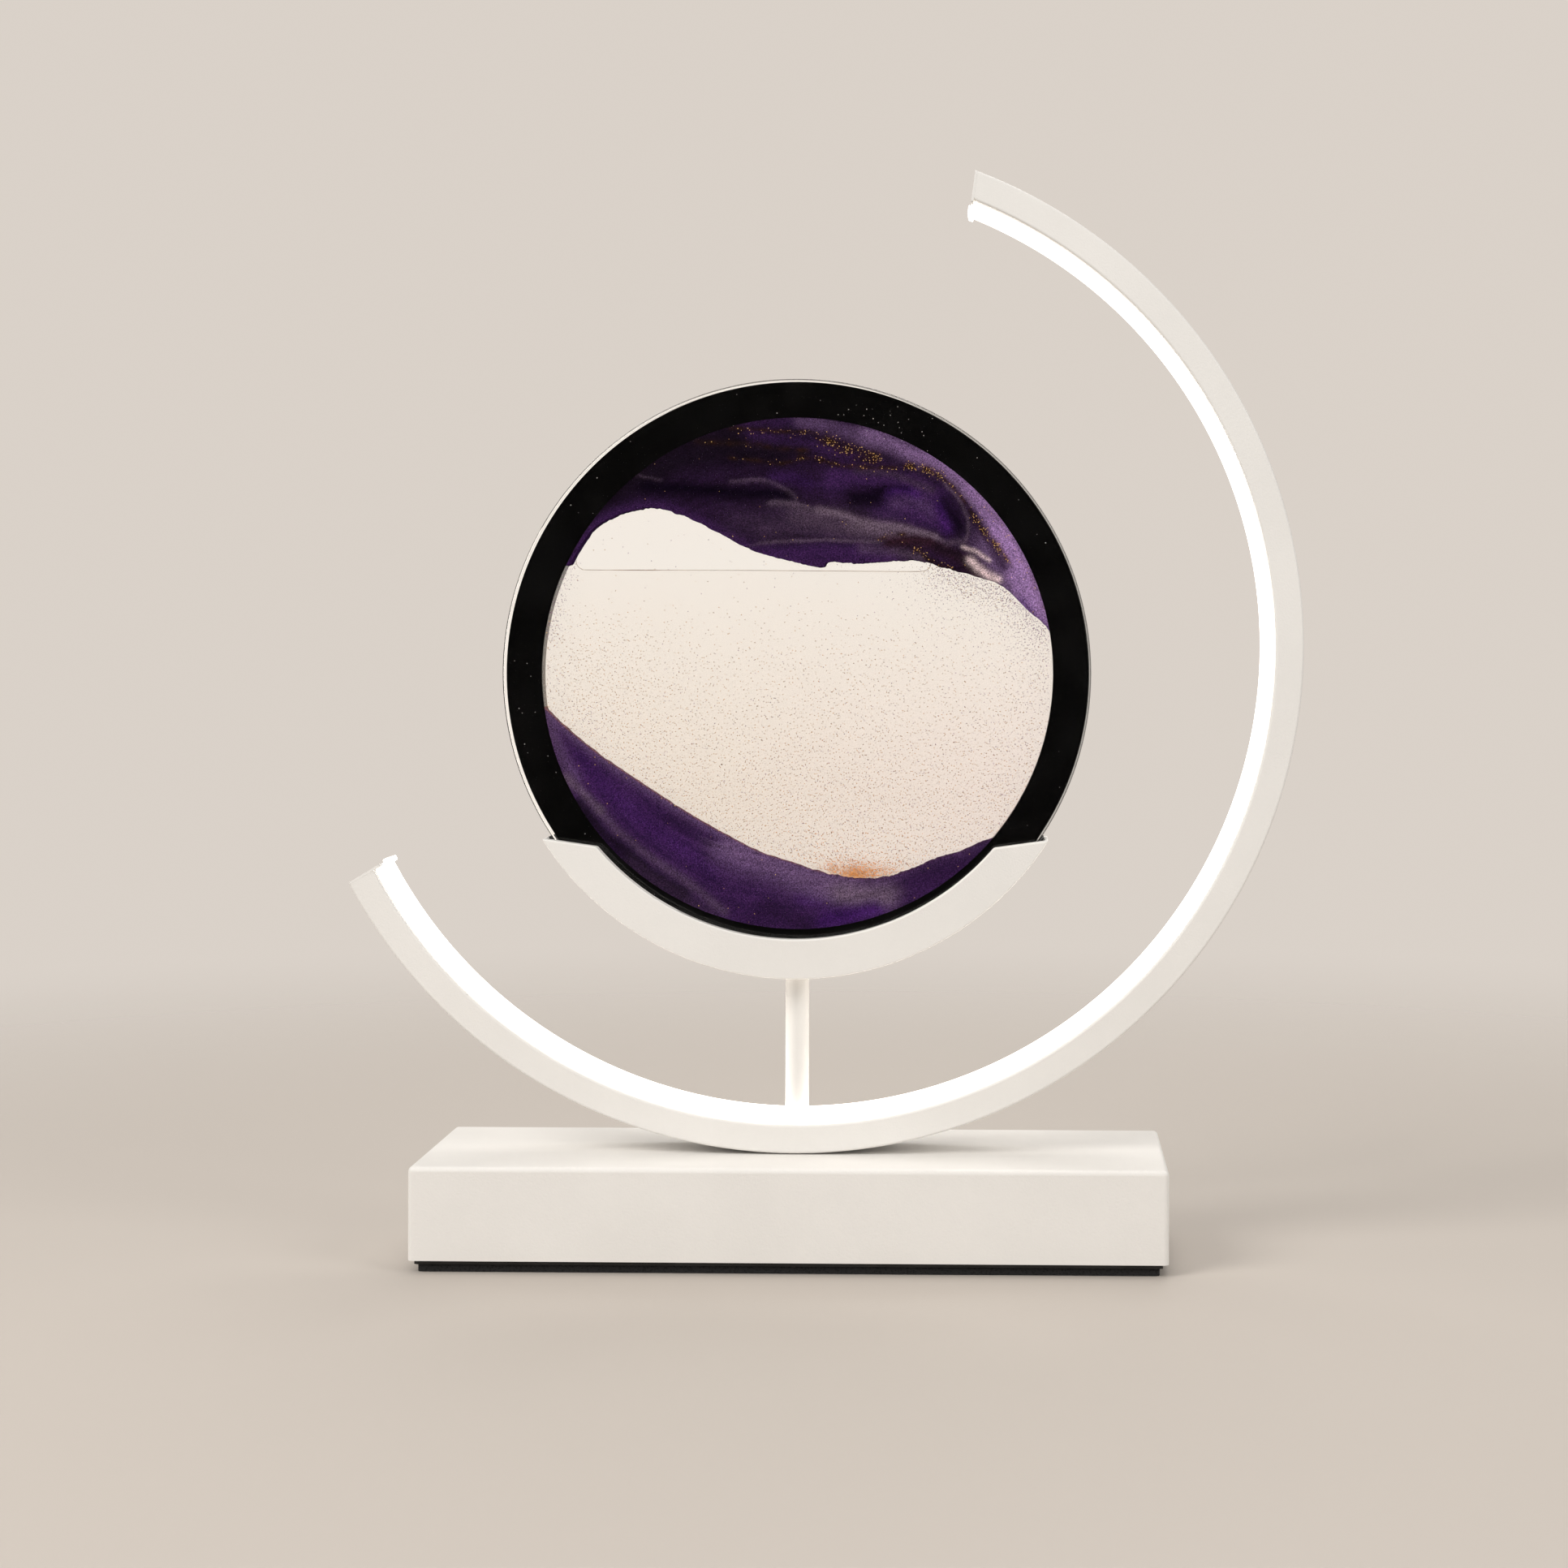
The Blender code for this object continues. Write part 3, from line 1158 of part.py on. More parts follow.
def main():
    clear_objects()
    make_base_cover()
    make_bottom_plate()
    make_foot_pad()
    make_cover_fixings()
    make_ballast()
    make_driver_board()
    make_power_inlet()

    arc_centre = add_axis("arc_centre", ARC_CENTRE_Z)
    make_arc_channel(arc_centre)
    make_diffuser(arc_centre)
    make_arc_ends(arc_centre)
    make_light_strips(arc_centre)
    make_arc_screws()

    disc_axis = add_axis("disc_axis", DISC_AXIS_Z)
    make_post()
    make_cradle()
    make_cradle_screw()
    make_cradle_felt(disc_axis)
    make_disc_glass(disc_axis)
    make_disc_ring(disc_axis)
    make_disc_filling(disc_axis)

    make_strip_wires()
    make_inlet_wires()
    make_jumpers()


main()
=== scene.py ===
"""Accent table lamp with a turning sand disc: finishes, fine shapes, light and camera.

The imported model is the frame. Pieces with a finer shape stand for its nodes, and the nodes
that stay get their finish here. Metres, +Z up, front towards -Y.
"""
import json
import math

import bmesh
import bpy
import numpy as np
from mathutils import Matrix, Vector, noise


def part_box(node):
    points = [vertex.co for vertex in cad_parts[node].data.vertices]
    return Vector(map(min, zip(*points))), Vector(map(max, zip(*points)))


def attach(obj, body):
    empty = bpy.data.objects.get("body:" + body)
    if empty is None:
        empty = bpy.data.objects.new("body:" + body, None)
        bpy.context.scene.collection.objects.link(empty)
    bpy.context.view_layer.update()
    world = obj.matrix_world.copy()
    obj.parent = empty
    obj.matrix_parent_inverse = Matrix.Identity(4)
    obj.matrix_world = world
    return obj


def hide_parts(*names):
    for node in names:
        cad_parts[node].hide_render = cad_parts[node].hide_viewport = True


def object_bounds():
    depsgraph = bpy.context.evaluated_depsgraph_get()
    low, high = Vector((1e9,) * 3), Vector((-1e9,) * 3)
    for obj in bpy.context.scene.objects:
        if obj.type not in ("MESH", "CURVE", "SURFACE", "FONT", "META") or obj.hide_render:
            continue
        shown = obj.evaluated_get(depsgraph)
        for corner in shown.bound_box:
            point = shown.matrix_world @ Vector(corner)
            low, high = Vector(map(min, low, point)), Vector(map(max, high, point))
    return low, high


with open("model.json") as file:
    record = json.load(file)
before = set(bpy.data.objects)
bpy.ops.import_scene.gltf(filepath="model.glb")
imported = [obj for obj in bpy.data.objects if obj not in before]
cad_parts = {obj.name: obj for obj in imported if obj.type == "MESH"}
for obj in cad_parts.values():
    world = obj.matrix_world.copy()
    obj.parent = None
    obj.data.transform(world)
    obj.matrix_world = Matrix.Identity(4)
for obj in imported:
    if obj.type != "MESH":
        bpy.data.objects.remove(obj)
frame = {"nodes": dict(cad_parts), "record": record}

CAD_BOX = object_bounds()
LAMP = "lamp"
DISC = "sand_disc"


def low(node):
    return Vector(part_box(node)[0])


def high(node):
    return Vector(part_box(node)[1])


def middle(node):
    return (low(node) + high(node)) / 2


# Clearance and thin parts shared by the pieces
GAP = 0.0003
WELD_GAP = 0.00002
CUT_OVERRUN = 0.002

# Base, from the frame
COVER_SHEET = 0.0012
COVER_BEND_RADIUS = 0.0016
BASE_LOW = low("base_cover")
BASE_HIGH = high("base_cover")

# Arc, from the frame and the channel's own sheet sizes
ARC_RADIUS = high("arc_channel").x
ARC_HALF_DEPTH = high("arc_channel").y
ARC_CENTRE_Z = BASE_HIGH.z + GAP + ARC_RADIUS
ARC_WALL_HEIGHT = 0.0086
ARC_SHEET = 0.0012
ARC_BEND_RADIUS = 0.0008
ARC_LOWER_END = math.radians(-151.9)
ARC_UPPER_END = math.radians(69.4)
ARC_LOWER_CUT_TILT = math.radians(3.4)
ARC_UPPER_CUT_TILT = math.radians(-13.0)
END_PLATE_THICKNESS = 0.00075
LIP_RADIUS = ARC_RADIUS - ARC_WALL_HEIGHT

# Diffuser and its end plugs
DIFFUSER_HALF_WIDTH = 0.0069
DIFFUSER_SIDE = 0.0025
DIFFUSER_CROWN = 0.00125
DIFFUSER_WALL = 0.0010
DIFFUSER_SHOULDER_ROUNDING = 0.0004
SHOULDER_RADIUS = LIP_RADIUS - DIFFUSER_SIDE
STRIP_THICKNESS = 0.0006
PLUG_EDGE_ROUNDING = 0.0003
POST_RADIUS = 0.003625

# Sand disc, from the frame
DISC_RADIUS = high("disc_front_glass").x
DISC_AXIS_Z = (low("disc_front_glass").z + high("disc_front_glass").z) / 2
RING_RADIUS = high("disc_ring").x
RING_WIDTH = 0.0109
RING_EDGE_BEVEL = 0.0001
WINDOW_RADIUS = RING_RADIUS - RING_WIDTH
CHAMBER_HALF_DEPTH = high("disc_ring").y
GLASS_EDGE_BEVEL = 0.0005
FILL_PLAY = 0.00003
FILL_RADIUS = WINDOW_RADIUS - FILL_PLAY
GRAINS_BEHIND_FACE = 0.0003
FLAKES_BEFORE_FACE = 0.00004

# Cradle
CRADLE_HALF_DEPTH = high("cradle").y
CRADLE_RADIUS = 0.0912
CRADLE_LIP_CIRCLE = 0.0792
CRADLE_CENTRE_Z = low("cradle").z + CRADLE_RADIUS
CRADLE_OUTER_HALF_SPAN = math.radians(57.6)
CRADLE_INNER_HALF_SPAN = math.radians(49.7)
CRADLE_LIP_ROUNDING = 0.0005
GROOVE_RADIUS = 0.0911
GROOVE_HALF_WIDTH = 0.0080
FELT_INNER_RADIUS = 0.0902
FELT_OUTER_RADIUS = 0.0908
FELT_HALF_WIDTH = 0.0077
FELT_HALF_SPAN = math.radians(56.4)
FELT_END_RAGGED = 0.0006

# Power inlet
INLET_BORE_RADIUS = 0.0031
INLET_BORE_DEPTH = 0.0095
INLET_PIN_RADIUS = 0.0010
INLET_PIN_RECESS = 0.0010
INLET_BODY_RADIUS = 0.0045
INLET_FLANGE_THICKNESS = 0.0014
INLET_FLANGE_ROUNDING = 0.0003

# Pan head screws under the base
SCREW_HEAD_RADIUS = 0.0028
SCREW_HEAD_HEIGHT = 0.0016
SCREW_HEAD_ROUNDING = 0.0006
SCREW_SHANK_RADIUS = 0.0015
SCREW_LENGTH = 0.0080
RECESS_LENGTH = 0.0030
RECESS_WIDTH = 0.0006
RECESS_DEPTH = 0.0008

# Steps of the round shapes
ARC_STEPS = 220
DISC_STEPS = 256
CRADLE_STEPS = 96
FELT_STEPS = 160
BEND_STEPS = 5
CROWN_STEPS = 16
SCREW_STEPS = 24
INLET_STEPS = 64
FELT_WIDTH_STEPS = 24
BUBBLE_LINE_STEPS = 6
SAND_COLUMNS = 420
SAND_ROWS = 96
LIQUID_COLUMNS = 160
LIQUID_ROWS = 40
SMOOTH_BELOW = math.radians(34)
MOST_FACES_WEIGHED = 30000
MERGE_BELOW = 0.0000005
MERGE_COPIED_BELOW = 0.000002

# Edge of the upper sand from left to right, as shares of the fill radius (x, z)
UPPER_SAND_EDGE_SHARES = [
    (-0.908, 0.418), (-0.890, 0.428), (-0.865, 0.475), (-0.795, 0.570), (-0.684, 0.627),
    (-0.557, 0.646), (-0.431, 0.608), (-0.304, 0.545), (-0.178, 0.481), (-0.019, 0.437),
    (0.091, 0.415), (0.125, 0.438), (0.234, 0.431), (0.455, 0.443), (0.582, 0.412),
    (0.693, 0.383), (0.803, 0.342), (0.898, 0.253), (0.970, 0.190), (0.985, 0.172),
]
# Edge of the settled sand from left to right, as shares of the fill radius (x, z)
LOWER_SAND_EDGE_SHARES = [
    (-0.991, -0.134), (-0.905, -0.215), (-0.779, -0.316), (-0.652, -0.402), (-0.526, -0.484),
    (-0.399, -0.563), (-0.272, -0.633), (-0.146, -0.696), (-0.019, -0.737), (0.076, -0.769),
    (0.171, -0.791), (0.266, -0.800), (0.360, -0.791), (0.455, -0.759), (0.550, -0.718),
    (0.645, -0.690), (0.720, -0.655), (0.768, -0.640),
]
BUBBLE_HEIGHT_SHARE = 0.402
BUBBLE_RIGHT_SHARE = 0.520
# The bubble's fine outline along the top of the liquid, as shares of the fill radius
BUBBLE_LINE_SHARES = [
    (-0.868, 0.440), (-0.867, 0.428), (-0.860, 0.415), (-0.846, 0.406), (-0.820, 0.4025),
    (-0.600, 0.402), (-0.200, 0.402), (0.200, 0.400), (0.440, 0.399), (0.490, 0.401),
    (0.510, 0.408), (0.519, 0.419), (0.521, 0.432),
]
BUBBLE_LINE_RADIUS = 0.00009
BUBBLE_LINE_DEPTH = 0.0002
BUBBLE_SMUDGE = (-0.72, -0.54)

# Tones of the sand
TONES = {
    "night": (0.0026, 0.0012, 0.0048),
    "dusk": (0.0052, 0.0028, 0.0066),
    "deep": (0.0135, 0.0054, 0.0195),
    "plum": (0.0310, 0.0108, 0.0530),
    "violet": (0.0360, 0.0090, 0.0800),
    "mauve": (0.0300, 0.0165, 0.0360),
    "veil": (0.1080, 0.0740, 0.1080),
    "lilac": (0.1080, 0.0620, 0.1400),
    "lavender": (0.2300, 0.1360, 0.3000),
    "milk": (0.4600, 0.3500, 0.3700),
    "umber": (0.0150, 0.0075, 0.0045),
    "rust": (0.0200, 0.0065, 0.0120),
    "gold": (0.2300, 0.1150, 0.0400),
}
# Strokes over each sand, in the order they are laid: tone, cover, then the line in shares of
# the fill radius, and how far it reaches on its upper and on its lower side
UPPER_SAND_STROKES = [
    ("dusk", 0.92, [(-0.731, 0.697), (-0.494, 0.817),
                    (-0.272, 0.867), (-0.067, 0.855)], 0.190, 0.057),
    ("dusk", 0.60, [(-0.367, 0.909), (-0.193, 0.899), (-0.003, 0.867)], 0.016, 0.022),
    ("night", 0.95, [(-0.589, 0.734), (-0.399, 0.719), (-0.250, 0.712),
                     (-0.114, 0.709), (-0.045, 0.700)], 0.028, 0.044),
    ("violet", 0.22, [(-0.089, 0.772), (-0.019, 0.766), (0.044, 0.741)], 0.028, 0.025),
    ("plum", 0.45, [(-0.209, 0.978), (-0.035, 0.984), (0.171, 0.950)], 0.019, 0.022),
    ("plum", 0.45, [(-0.178, 0.931), (0.012, 0.902), (0.202, 0.848)], 0.032, 0.032),
    ("lilac", 0.50, [(0.012, 0.984), (0.186, 0.947), (0.313, 0.909)], 0.028, 0.028),
    ("lilac", 0.95, [(0.272, 0.931), (0.392, 0.890), (0.519, 0.829), (0.645, 0.753)], 0.044, 0.035),
    ("lavender", 0.35, [(0.519, 0.855), (0.629, 0.760), (0.734, 0.649)], 0.044, 0.025),
    ("lavender", 0.75, [(0.693, 0.712), (0.788, 0.586), (0.860, 0.443)], 0.063, 0.044),
    ("lavender", 0.98, [(0.791, 0.513), (0.873, 0.396), (0.943, 0.238)], 0.076, 0.076),
    ("plum", 0.85, [(0.139, 0.760), (0.240, 0.779), (0.424, 0.747), (0.550, 0.690)], 0.041, 0.057),
    ("plum", 0.95, [(0.345, 0.627), (0.424, 0.646), (0.538, 0.627)], 0.063, 0.070),
    ("mauve", 0.85, [(0.234, 0.798), (0.376, 0.779), (0.519, 0.722)], 0.016, 0.019),
    ("lilac", 0.22, [(0.386, 0.665), (0.455, 0.678), (0.525, 0.640)], 0.032, 0.038),
    ("violet", 0.75, [(0.348, 0.709), (0.417, 0.722), (0.462, 0.703)], 0.016, 0.019),
    ("violet", 0.80, [(0.550, 0.659), (0.569, 0.614), (0.588, 0.570)], 0.022, 0.022),
    ("night", 0.92, [(0.228, 0.684), (0.303, 0.687)], 0.041, 0.044),
    ("night", 0.60, [(0.297, 0.712), (0.373, 0.731), (0.424, 0.725)], 0.013, 0.016),
    ("night", 0.80, [(0.569, 0.678), (0.604, 0.621), (0.629, 0.570)], 0.025, 0.025),
    ("mauve", 0.95, [(-0.257, 0.570), (-0.114, 0.564), (0.076, 0.576),
                     (0.234, 0.560), (0.354, 0.538)], 0.063, 0.044),
    ("deep", 0.60, [(-0.336, 0.614), (-0.193, 0.538)], 0.044, 0.032),
    ("veil", 0.22, [(-0.003, 0.614), (0.171, 0.583), (0.360, 0.551)], 0.044, 0.038),
    ("veil", 0.50, [(0.209, 0.589), (0.335, 0.564), (0.487, 0.538)], 0.016, 0.025),
    ("veil", 0.38, [(-0.098, 0.671), (-0.019, 0.665), (0.088, 0.643)], 0.008, 0.022),
    ("veil", 0.92, [(0.082, 0.646), (0.180, 0.621), (0.247, 0.598), (0.326, 0.586),
                    (0.408, 0.570), (0.474, 0.551), (0.544, 0.535)], 0.013, 0.016),
    ("veil", 0.25, [(-0.263, 0.757), (-0.155, 0.763), (-0.089, 0.750),
                    (-0.045, 0.725), (-0.016, 0.700), (-0.003, 0.674)], 0.006, 0.011),
    ("veil", 0.16, [(-0.627, 0.772), (-0.583, 0.766), (-0.538, 0.757)], 0.006, 0.008),
    ("veil", 0.42, [(-0.193, 0.497), (-0.143, 0.507), (-0.019, 0.516),
                    (0.114, 0.522), (0.247, 0.522), (0.322, 0.516)], 0.007, 0.007),
    ("plum", 0.95, [(-0.114, 0.462), (0.044, 0.475), (0.234, 0.481), (0.345, 0.469)], 0.028, 0.063),
    ("veil", 0.25, [(0.253, 0.488), (0.392, 0.472), (0.487, 0.450)], 0.022, 0.022),
    ("rust", 0.92, [(0.360, 0.513), (0.446, 0.519), (0.525, 0.516),
                    (0.588, 0.484), (0.652, 0.443), (0.702, 0.393)], 0.019, 0.025),
    ("dusk", 0.75, [(0.550, 0.500), (0.620, 0.469), (0.683, 0.412)], 0.016, 0.019),
    ("veil", 0.50, [(0.474, 0.554), (0.541, 0.535), (0.569, 0.522)], 0.009, 0.009),
    ("veil", 0.30, [(0.588, 0.513), (0.633, 0.519), (0.658, 0.503)], 0.013, 0.013),
    ("deep", 0.85, [(0.658, 0.659), (0.715, 0.570), (0.766, 0.484), (0.807, 0.421)], 0.025, 0.025),
    ("veil", 0.40, [(0.569, 0.741), (0.623, 0.693), (0.648, 0.652),
                    (0.667, 0.602), (0.667, 0.554), (0.655, 0.526)], 0.008, 0.008),
    ("veil", 0.25, [(0.598, 0.753), (0.652, 0.706), (0.690, 0.659)], 0.008, 0.008),
    ("milk", 0.75, [(0.648, 0.497), (0.699, 0.475), (0.747, 0.443)], 0.008, 0.009),
    ("milk", 0.98, [(0.674, 0.443), (0.705, 0.412), (0.747, 0.386), (0.784, 0.371)], 0.015, 0.016),
    ("violet", 0.60, [(0.873, 0.285), (0.921, 0.231), (0.968, 0.178)], 0.016, 0.016),
]
LOWER_SAND_STROKES = [
    ("mauve", 0.55, [(-0.981, -0.158), (-0.943, -0.300), (-0.893, -0.417)], 0.032, 0.044),
    ("lilac", 0.30, [(-0.981, -0.174), (-0.937, -0.284), (-0.867, -0.405)], 0.028, 0.028),
    ("violet", 0.30, [(-0.855, -0.332), (-0.716, -0.490),
                      (-0.526, -0.633), (-0.336, -0.775)], 0.038, 0.038),
    ("dusk", 0.85, [(-0.855, -0.512), (-0.747, -0.633), (-0.659, -0.715),
                    (-0.567, -0.784), (-0.434, -0.864)], 0.028, 0.041),
    ("mauve", 0.55, [(-0.652, -0.747), (-0.494, -0.860), (-0.336, -0.936)], 0.032, 0.038),
    ("veil", 0.50, [(-0.905, -0.408), (-0.833, -0.474), (-0.766, -0.541)], 0.016, 0.019),
    ("veil", 0.30, [(-0.766, -0.541), (-0.700, -0.617), (-0.621, -0.690), (-0.513, -0.762),
                    (-0.434, -0.816), (-0.352, -0.876), (-0.279, -0.936)], 0.019, 0.019),
    ("dusk", 0.40, [(-0.494, -0.569), (-0.367, -0.639), (-0.225, -0.715)], 0.022, 0.028),
    ("lilac", 0.88, [(-0.272, -0.677), (-0.130, -0.734),
                     (0.044, -0.797), (0.202, -0.835)], 0.038, 0.070),
    ("lilac", 0.55, [(-0.003, -0.791), (0.139, -0.841),
                     (0.240, -0.873), (0.345, -0.873)], 0.051, 0.051),
    ("veil", 0.70, [(0.171, -0.860), (0.272, -0.873), (0.360, -0.867)], 0.051, 0.044),
    ("violet", 0.90, [(0.107, -0.955), (0.209, -0.949), (0.310, -0.917)], 0.028, 0.044),
    ("violet", 0.45, [(0.012, -0.886), (0.120, -0.911), (0.209, -0.930)], 0.025, 0.025),
    ("deep", 0.55, [(-0.114, -0.911), (0.044, -0.968)], 0.041, 0.057),
    ("deep", 0.35, [(0.430, -0.822), (0.582, -0.759), (0.724, -0.690)], 0.063, 0.051),
]
# Veins of gold: the line, half width, how dark the gold covers it and how much of it glitters
GOLD_VEINS = [
    ([(-0.40, 0.907), (-0.20, 0.895), (0.044, 0.864)], 0.010, 0.90, 0.03),
    ([(-0.274, 0.845), (-0.073, 0.820), (0.044, 0.839)], 0.007, 0.90, 0.04),
    ([(-0.261, 0.957), (0.044, 0.941), (0.10, 0.918), (0.174, 0.890)], 0.008, 0.95, 0.25),
    ([(0.10, 0.915), (0.174, 0.885), (0.26, 0.858), (0.31, 0.842)], 0.020, 0.90, 0.70),
    ([(0.006, 0.845), (0.18, 0.811), (0.34, 0.805), (0.446, 0.811)], 0.009, 0.85, 0.30),
    ([(0.44, 0.812), (0.50, 0.797), (0.55, 0.772)], 0.014, 0.95, 1.00),
    ([(0.54, 0.779), (0.60, 0.731), (0.65, 0.680), (0.70, 0.600)], 0.007, 0.80, 0.25),
    ([(0.69, 0.610), (0.746, 0.538), (0.794, 0.478), (0.826, 0.432)], 0.012, 0.85, 0.75),
    ([(0.32, 0.532), (0.42, 0.541)], 0.008, 0.80, 0.25),
    ([(0.42, 0.515), (0.50, 0.459), (0.579, 0.412), (0.68, 0.372)], 0.010, 0.60, 0.30),
    ([(0.66, 0.745), (0.80, 0.585), (0.90, 0.410), (0.96, 0.260)], 0.012, 0.12, 0.05),
]
# How far the settled sand slopes down to the back, how far the liquid overlaps the sands, and
# how far loose grains keep from them, as shares of the fill radius
SAND_SINK_SHARE = 0.009
LIQUID_OVERLAP_SHARE = 0.008
CLEAR_MARGIN_SHARE = 0.006
# Widths of the tones along the sand's edge, and the sizes of its winding and its streaks
GOLD_EDGE_DEPTH = 0.0050
LILAC_EDGE_DEPTH = 0.032
VEIL_WARP_SHARE = 0.009
VEIL_WARP_SIZE_SHARE = 0.16
STREAK_LENGTH_SHARE = 0.30
STREAK_WIDTH_SHARE = 0.022

# Grains, flakes and dust: count to the square metre where they are densest, and radii
SAND_GRAINS = {"Density": 2.4e6, "Smallest": 0.00010, "Largest": 0.00021, "Seed": 17}
GOLD_GRAINS = {"Density": 4.2e6, "Smallest": 0.00010, "Largest": 0.00021, "Seed": 3}
SUNK_GRAINS = {"Density": 16e6, "Smallest": 0.00011, "Largest": 0.00021, "Seed": 29}
PURPLE_GRAINS = {"Density": 5.2e6, "Smallest": 0.00009, "Largest": 0.00020, "Seed": 8}
GOLD_FLAKES = {"Density": 6.5e6, "Smallest": 0.00009, "Largest": 0.00020, "Seed": 5}
RING_DUST = {"Density": 0.19e6, "Smallest": 0.00008, "Largest": 0.00018, "Seed": 11}

# Camera: lens and shift as shares of the picture, place and turn fitted to the photograph
CAMERA_LENS_MM = 64.99
CAMERA_SENSOR_MM = 36.0
CAMERA_SHIFT_X = -0.12
CAMERA_SHIFT_Y = -0.09
CAMERA_PLACE = (0.0678, -0.8698, 0.1869)
CAMERA_YAW = math.radians(0.943)
CAMERA_PITCH = math.radians(0.003)
CAMERA_ROLL = math.radians(0.159)


# Node trees

class Value:
    """A socket of a node tree. Python's operators on it add Math nodes."""

    def __init__(self, owner, socket):
        self.owner = owner
        self.socket = socket

    def math(self, operation, *others):
        return self.owner.make("ShaderNodeMath", {"operation": operation}, (self, *others))

    def __add__(self, other):
        return self.math("ADD", other)

    __radd__ = __add__

    def __mul__(self, other):
        return self.math("MULTIPLY", other)

    __rmul__ = __mul__

    def __sub__(self, other):
        return self.math("SUBTRACT", other)

    def __rsub__(self, other):
        return self.owner.make("ShaderNodeMath", {"operation": "SUBTRACT"}, (other, self))

    def step(self, start, end):
        """Rises smoothly from 0 at start to 1 at end."""
        return self.owner.make("ShaderNodeMapRange", {"interpolation_type": "SMOOTHSTEP"},
                               {"Value": self, "From Min": start, "From Max": end})


class Tree:
    """A node tree in the making."""

    def __init__(self, tree):
        self.tree = tree

    def feed(self, socket, value):
        if isinstance(value, Value):
            self.tree.links.new(value.socket, socket)
        else:
            socket.default_value = value

    def make(self, kind, settings=None, values=(), output=0):
        """Adds a node with its settings, then its sockets' values or links."""
        node = self.tree.nodes.new(kind)
        for name, setting in (settings or {}).items():
            setattr(node, name, setting)
        pairs = values.items() if isinstance(values, dict) else enumerate(values)
        for key, value in pairs:
            self.feed(node.inputs[key], value)
        return Value(self, node.outputs[output]) if len(node.outputs) else node


class Finish(Tree):
    """A material in the making, on the coordinates of its piece."""

    def __init__(self, name, **constants):
        self.material = bpy.data.materials.new(name)
        self.material.use_nodes = True
        super().__init__(self.material.node_tree)
        self.shader = self.tree.nodes["Principled BSDF"]
        for socket, value in constants.items():
            self.shader.inputs[socket.replace("_", " ")].default_value = value
        self.place = self.make("ShaderNodeTexCoord", output="Object")

    def noise(self, size, detail=2.0, roughness=0.5):
        return self.make("ShaderNodeTexNoise", {}, {
            "Vector": self.place, "Scale": 1 / size, "Detail": detail, "Roughness": roughness})

    def cells(self, size):
        return self.make("ShaderNodeTexVoronoi", {"feature": "F1"},
                         {"Vector": self.place, "Scale": 1 / size})

    def attribute(self, name, output="Fac"):
        return self.make("ShaderNodeAttribute", {"attribute_name": name}, output=output)

    def blend(self, share, first, second):
        """A colour between two others."""
        return self.make("ShaderNodeMix", {"data_type": "RGBA"},
                         {0: share, 6: opaque(first), 7: opaque(second)}, output=2)

    def colour(self, value):
        self.feed(self.shader.inputs["Base Color"], opaque(value))

    def roughness(self, value):
        self.feed(self.shader.inputs["Roughness"], value)

    def bump(self, height, depth):
        normal = self.make("ShaderNodeBump", {},
                           {"Strength": 1.0, "Distance": depth, "Height": height})
        self.feed(self.shader.inputs["Normal"], normal)

    def end(self, colour, texture, least, swing, depth):
        """Gives the finish its colour, and one texture in its roughness and its bumps."""
        self.colour(colour)
        self.roughness(least + swing * texture)
        self.bump(texture, depth)
        return self.material

    def scaled(self, colour, factor):
        return self.make("ShaderNodeVectorMath", {"operation": "SCALE"},
                         {0: colour, "Scale": factor})

    def let_through(self, share, colour=(1, 1, 1)):
        """Mixes the finish with plain transparency."""
        own = Value(self, self.shader.outputs["BSDF"])
        through = self.make("ShaderNodeBsdfTransparent", {}, {"Color": opaque(colour)})
        surface = self.make("ShaderNodeMixShader", {}, (share, own, through))
        self.feed(self.tree.nodes["Material Output"].inputs["Surface"], surface)


def opaque(colour):
    return colour if isinstance(colour, Value) else (*colour, 1)


# Finishes

def powder_coat(name, colour, shade):
    """White powder coat with its orange-peel skin and a few specks of dust in it."""
    made = Finish(name, IOR=1.5)
    peel = made.noise(0.00055, 1.5, 0.45)
    drift = made.noise(0.035, 3.0)
    speck = 1 - made.cells(0.0140).step(0.012, 0.020)
    coat = made.blend(drift.step(0.3, 0.7), shade, colour)
    dusted = made.blend(speck * 0.5, coat, (0.30, 0.28, 0.26))
    return made.end(dusted, peel, 0.42, 0.18, 0.00007)


def satin_metal(name, colour, shade, roughness, metallic, grain):
    """Bare or painted metal with a fine grain and slow stains."""
    made = Finish(name, Metallic=metallic)
    stained = made.blend(made.noise(0.012, 4.0).step(0.3, 0.75), shade, colour)
    return made.end(stained, made.noise(grain, 3.0), roughness - 0.08, 0.16, 0.00002)


def moulded(name, colour, shade, roughness):
    """Moulded plastic or rubber with a fine texture."""
    made = Finish(name)
    stained = made.blend(made.noise(0.009, 3.0).step(0.25, 0.75), shade, colour)
    return made.end(stained, made.noise(0.0006, 2.0), roughness - 0.06, 0.12, 0.00002)


def closed_cell_foam():
    made = Finish("foam_finish")
    pores = made.cells(0.0007)
    black = made.blend(pores.step(0.1, 0.6), (0.006, 0.006, 0.006), (0.022, 0.022, 0.023))
    return made.end(black, pores, 0.86, 0.10, 0.00015)


def felt():
    made = Finish("felt_finish", Sheen_Weight=0.1, Sheen_Roughness=0.6)
    fibres = made.make("ShaderNodeTexNoise", {}, {
        "Vector": made.place, "Scale": 2600.0, "Detail": 4.0, "Distortion": 1.6})
    black = made.blend(fibres.step(0.35, 0.7), (0.004, 0.004, 0.004), (0.022, 0.021, 0.020))
    return made.end(black, fibres, 0.90, 0.08, 0.00020)


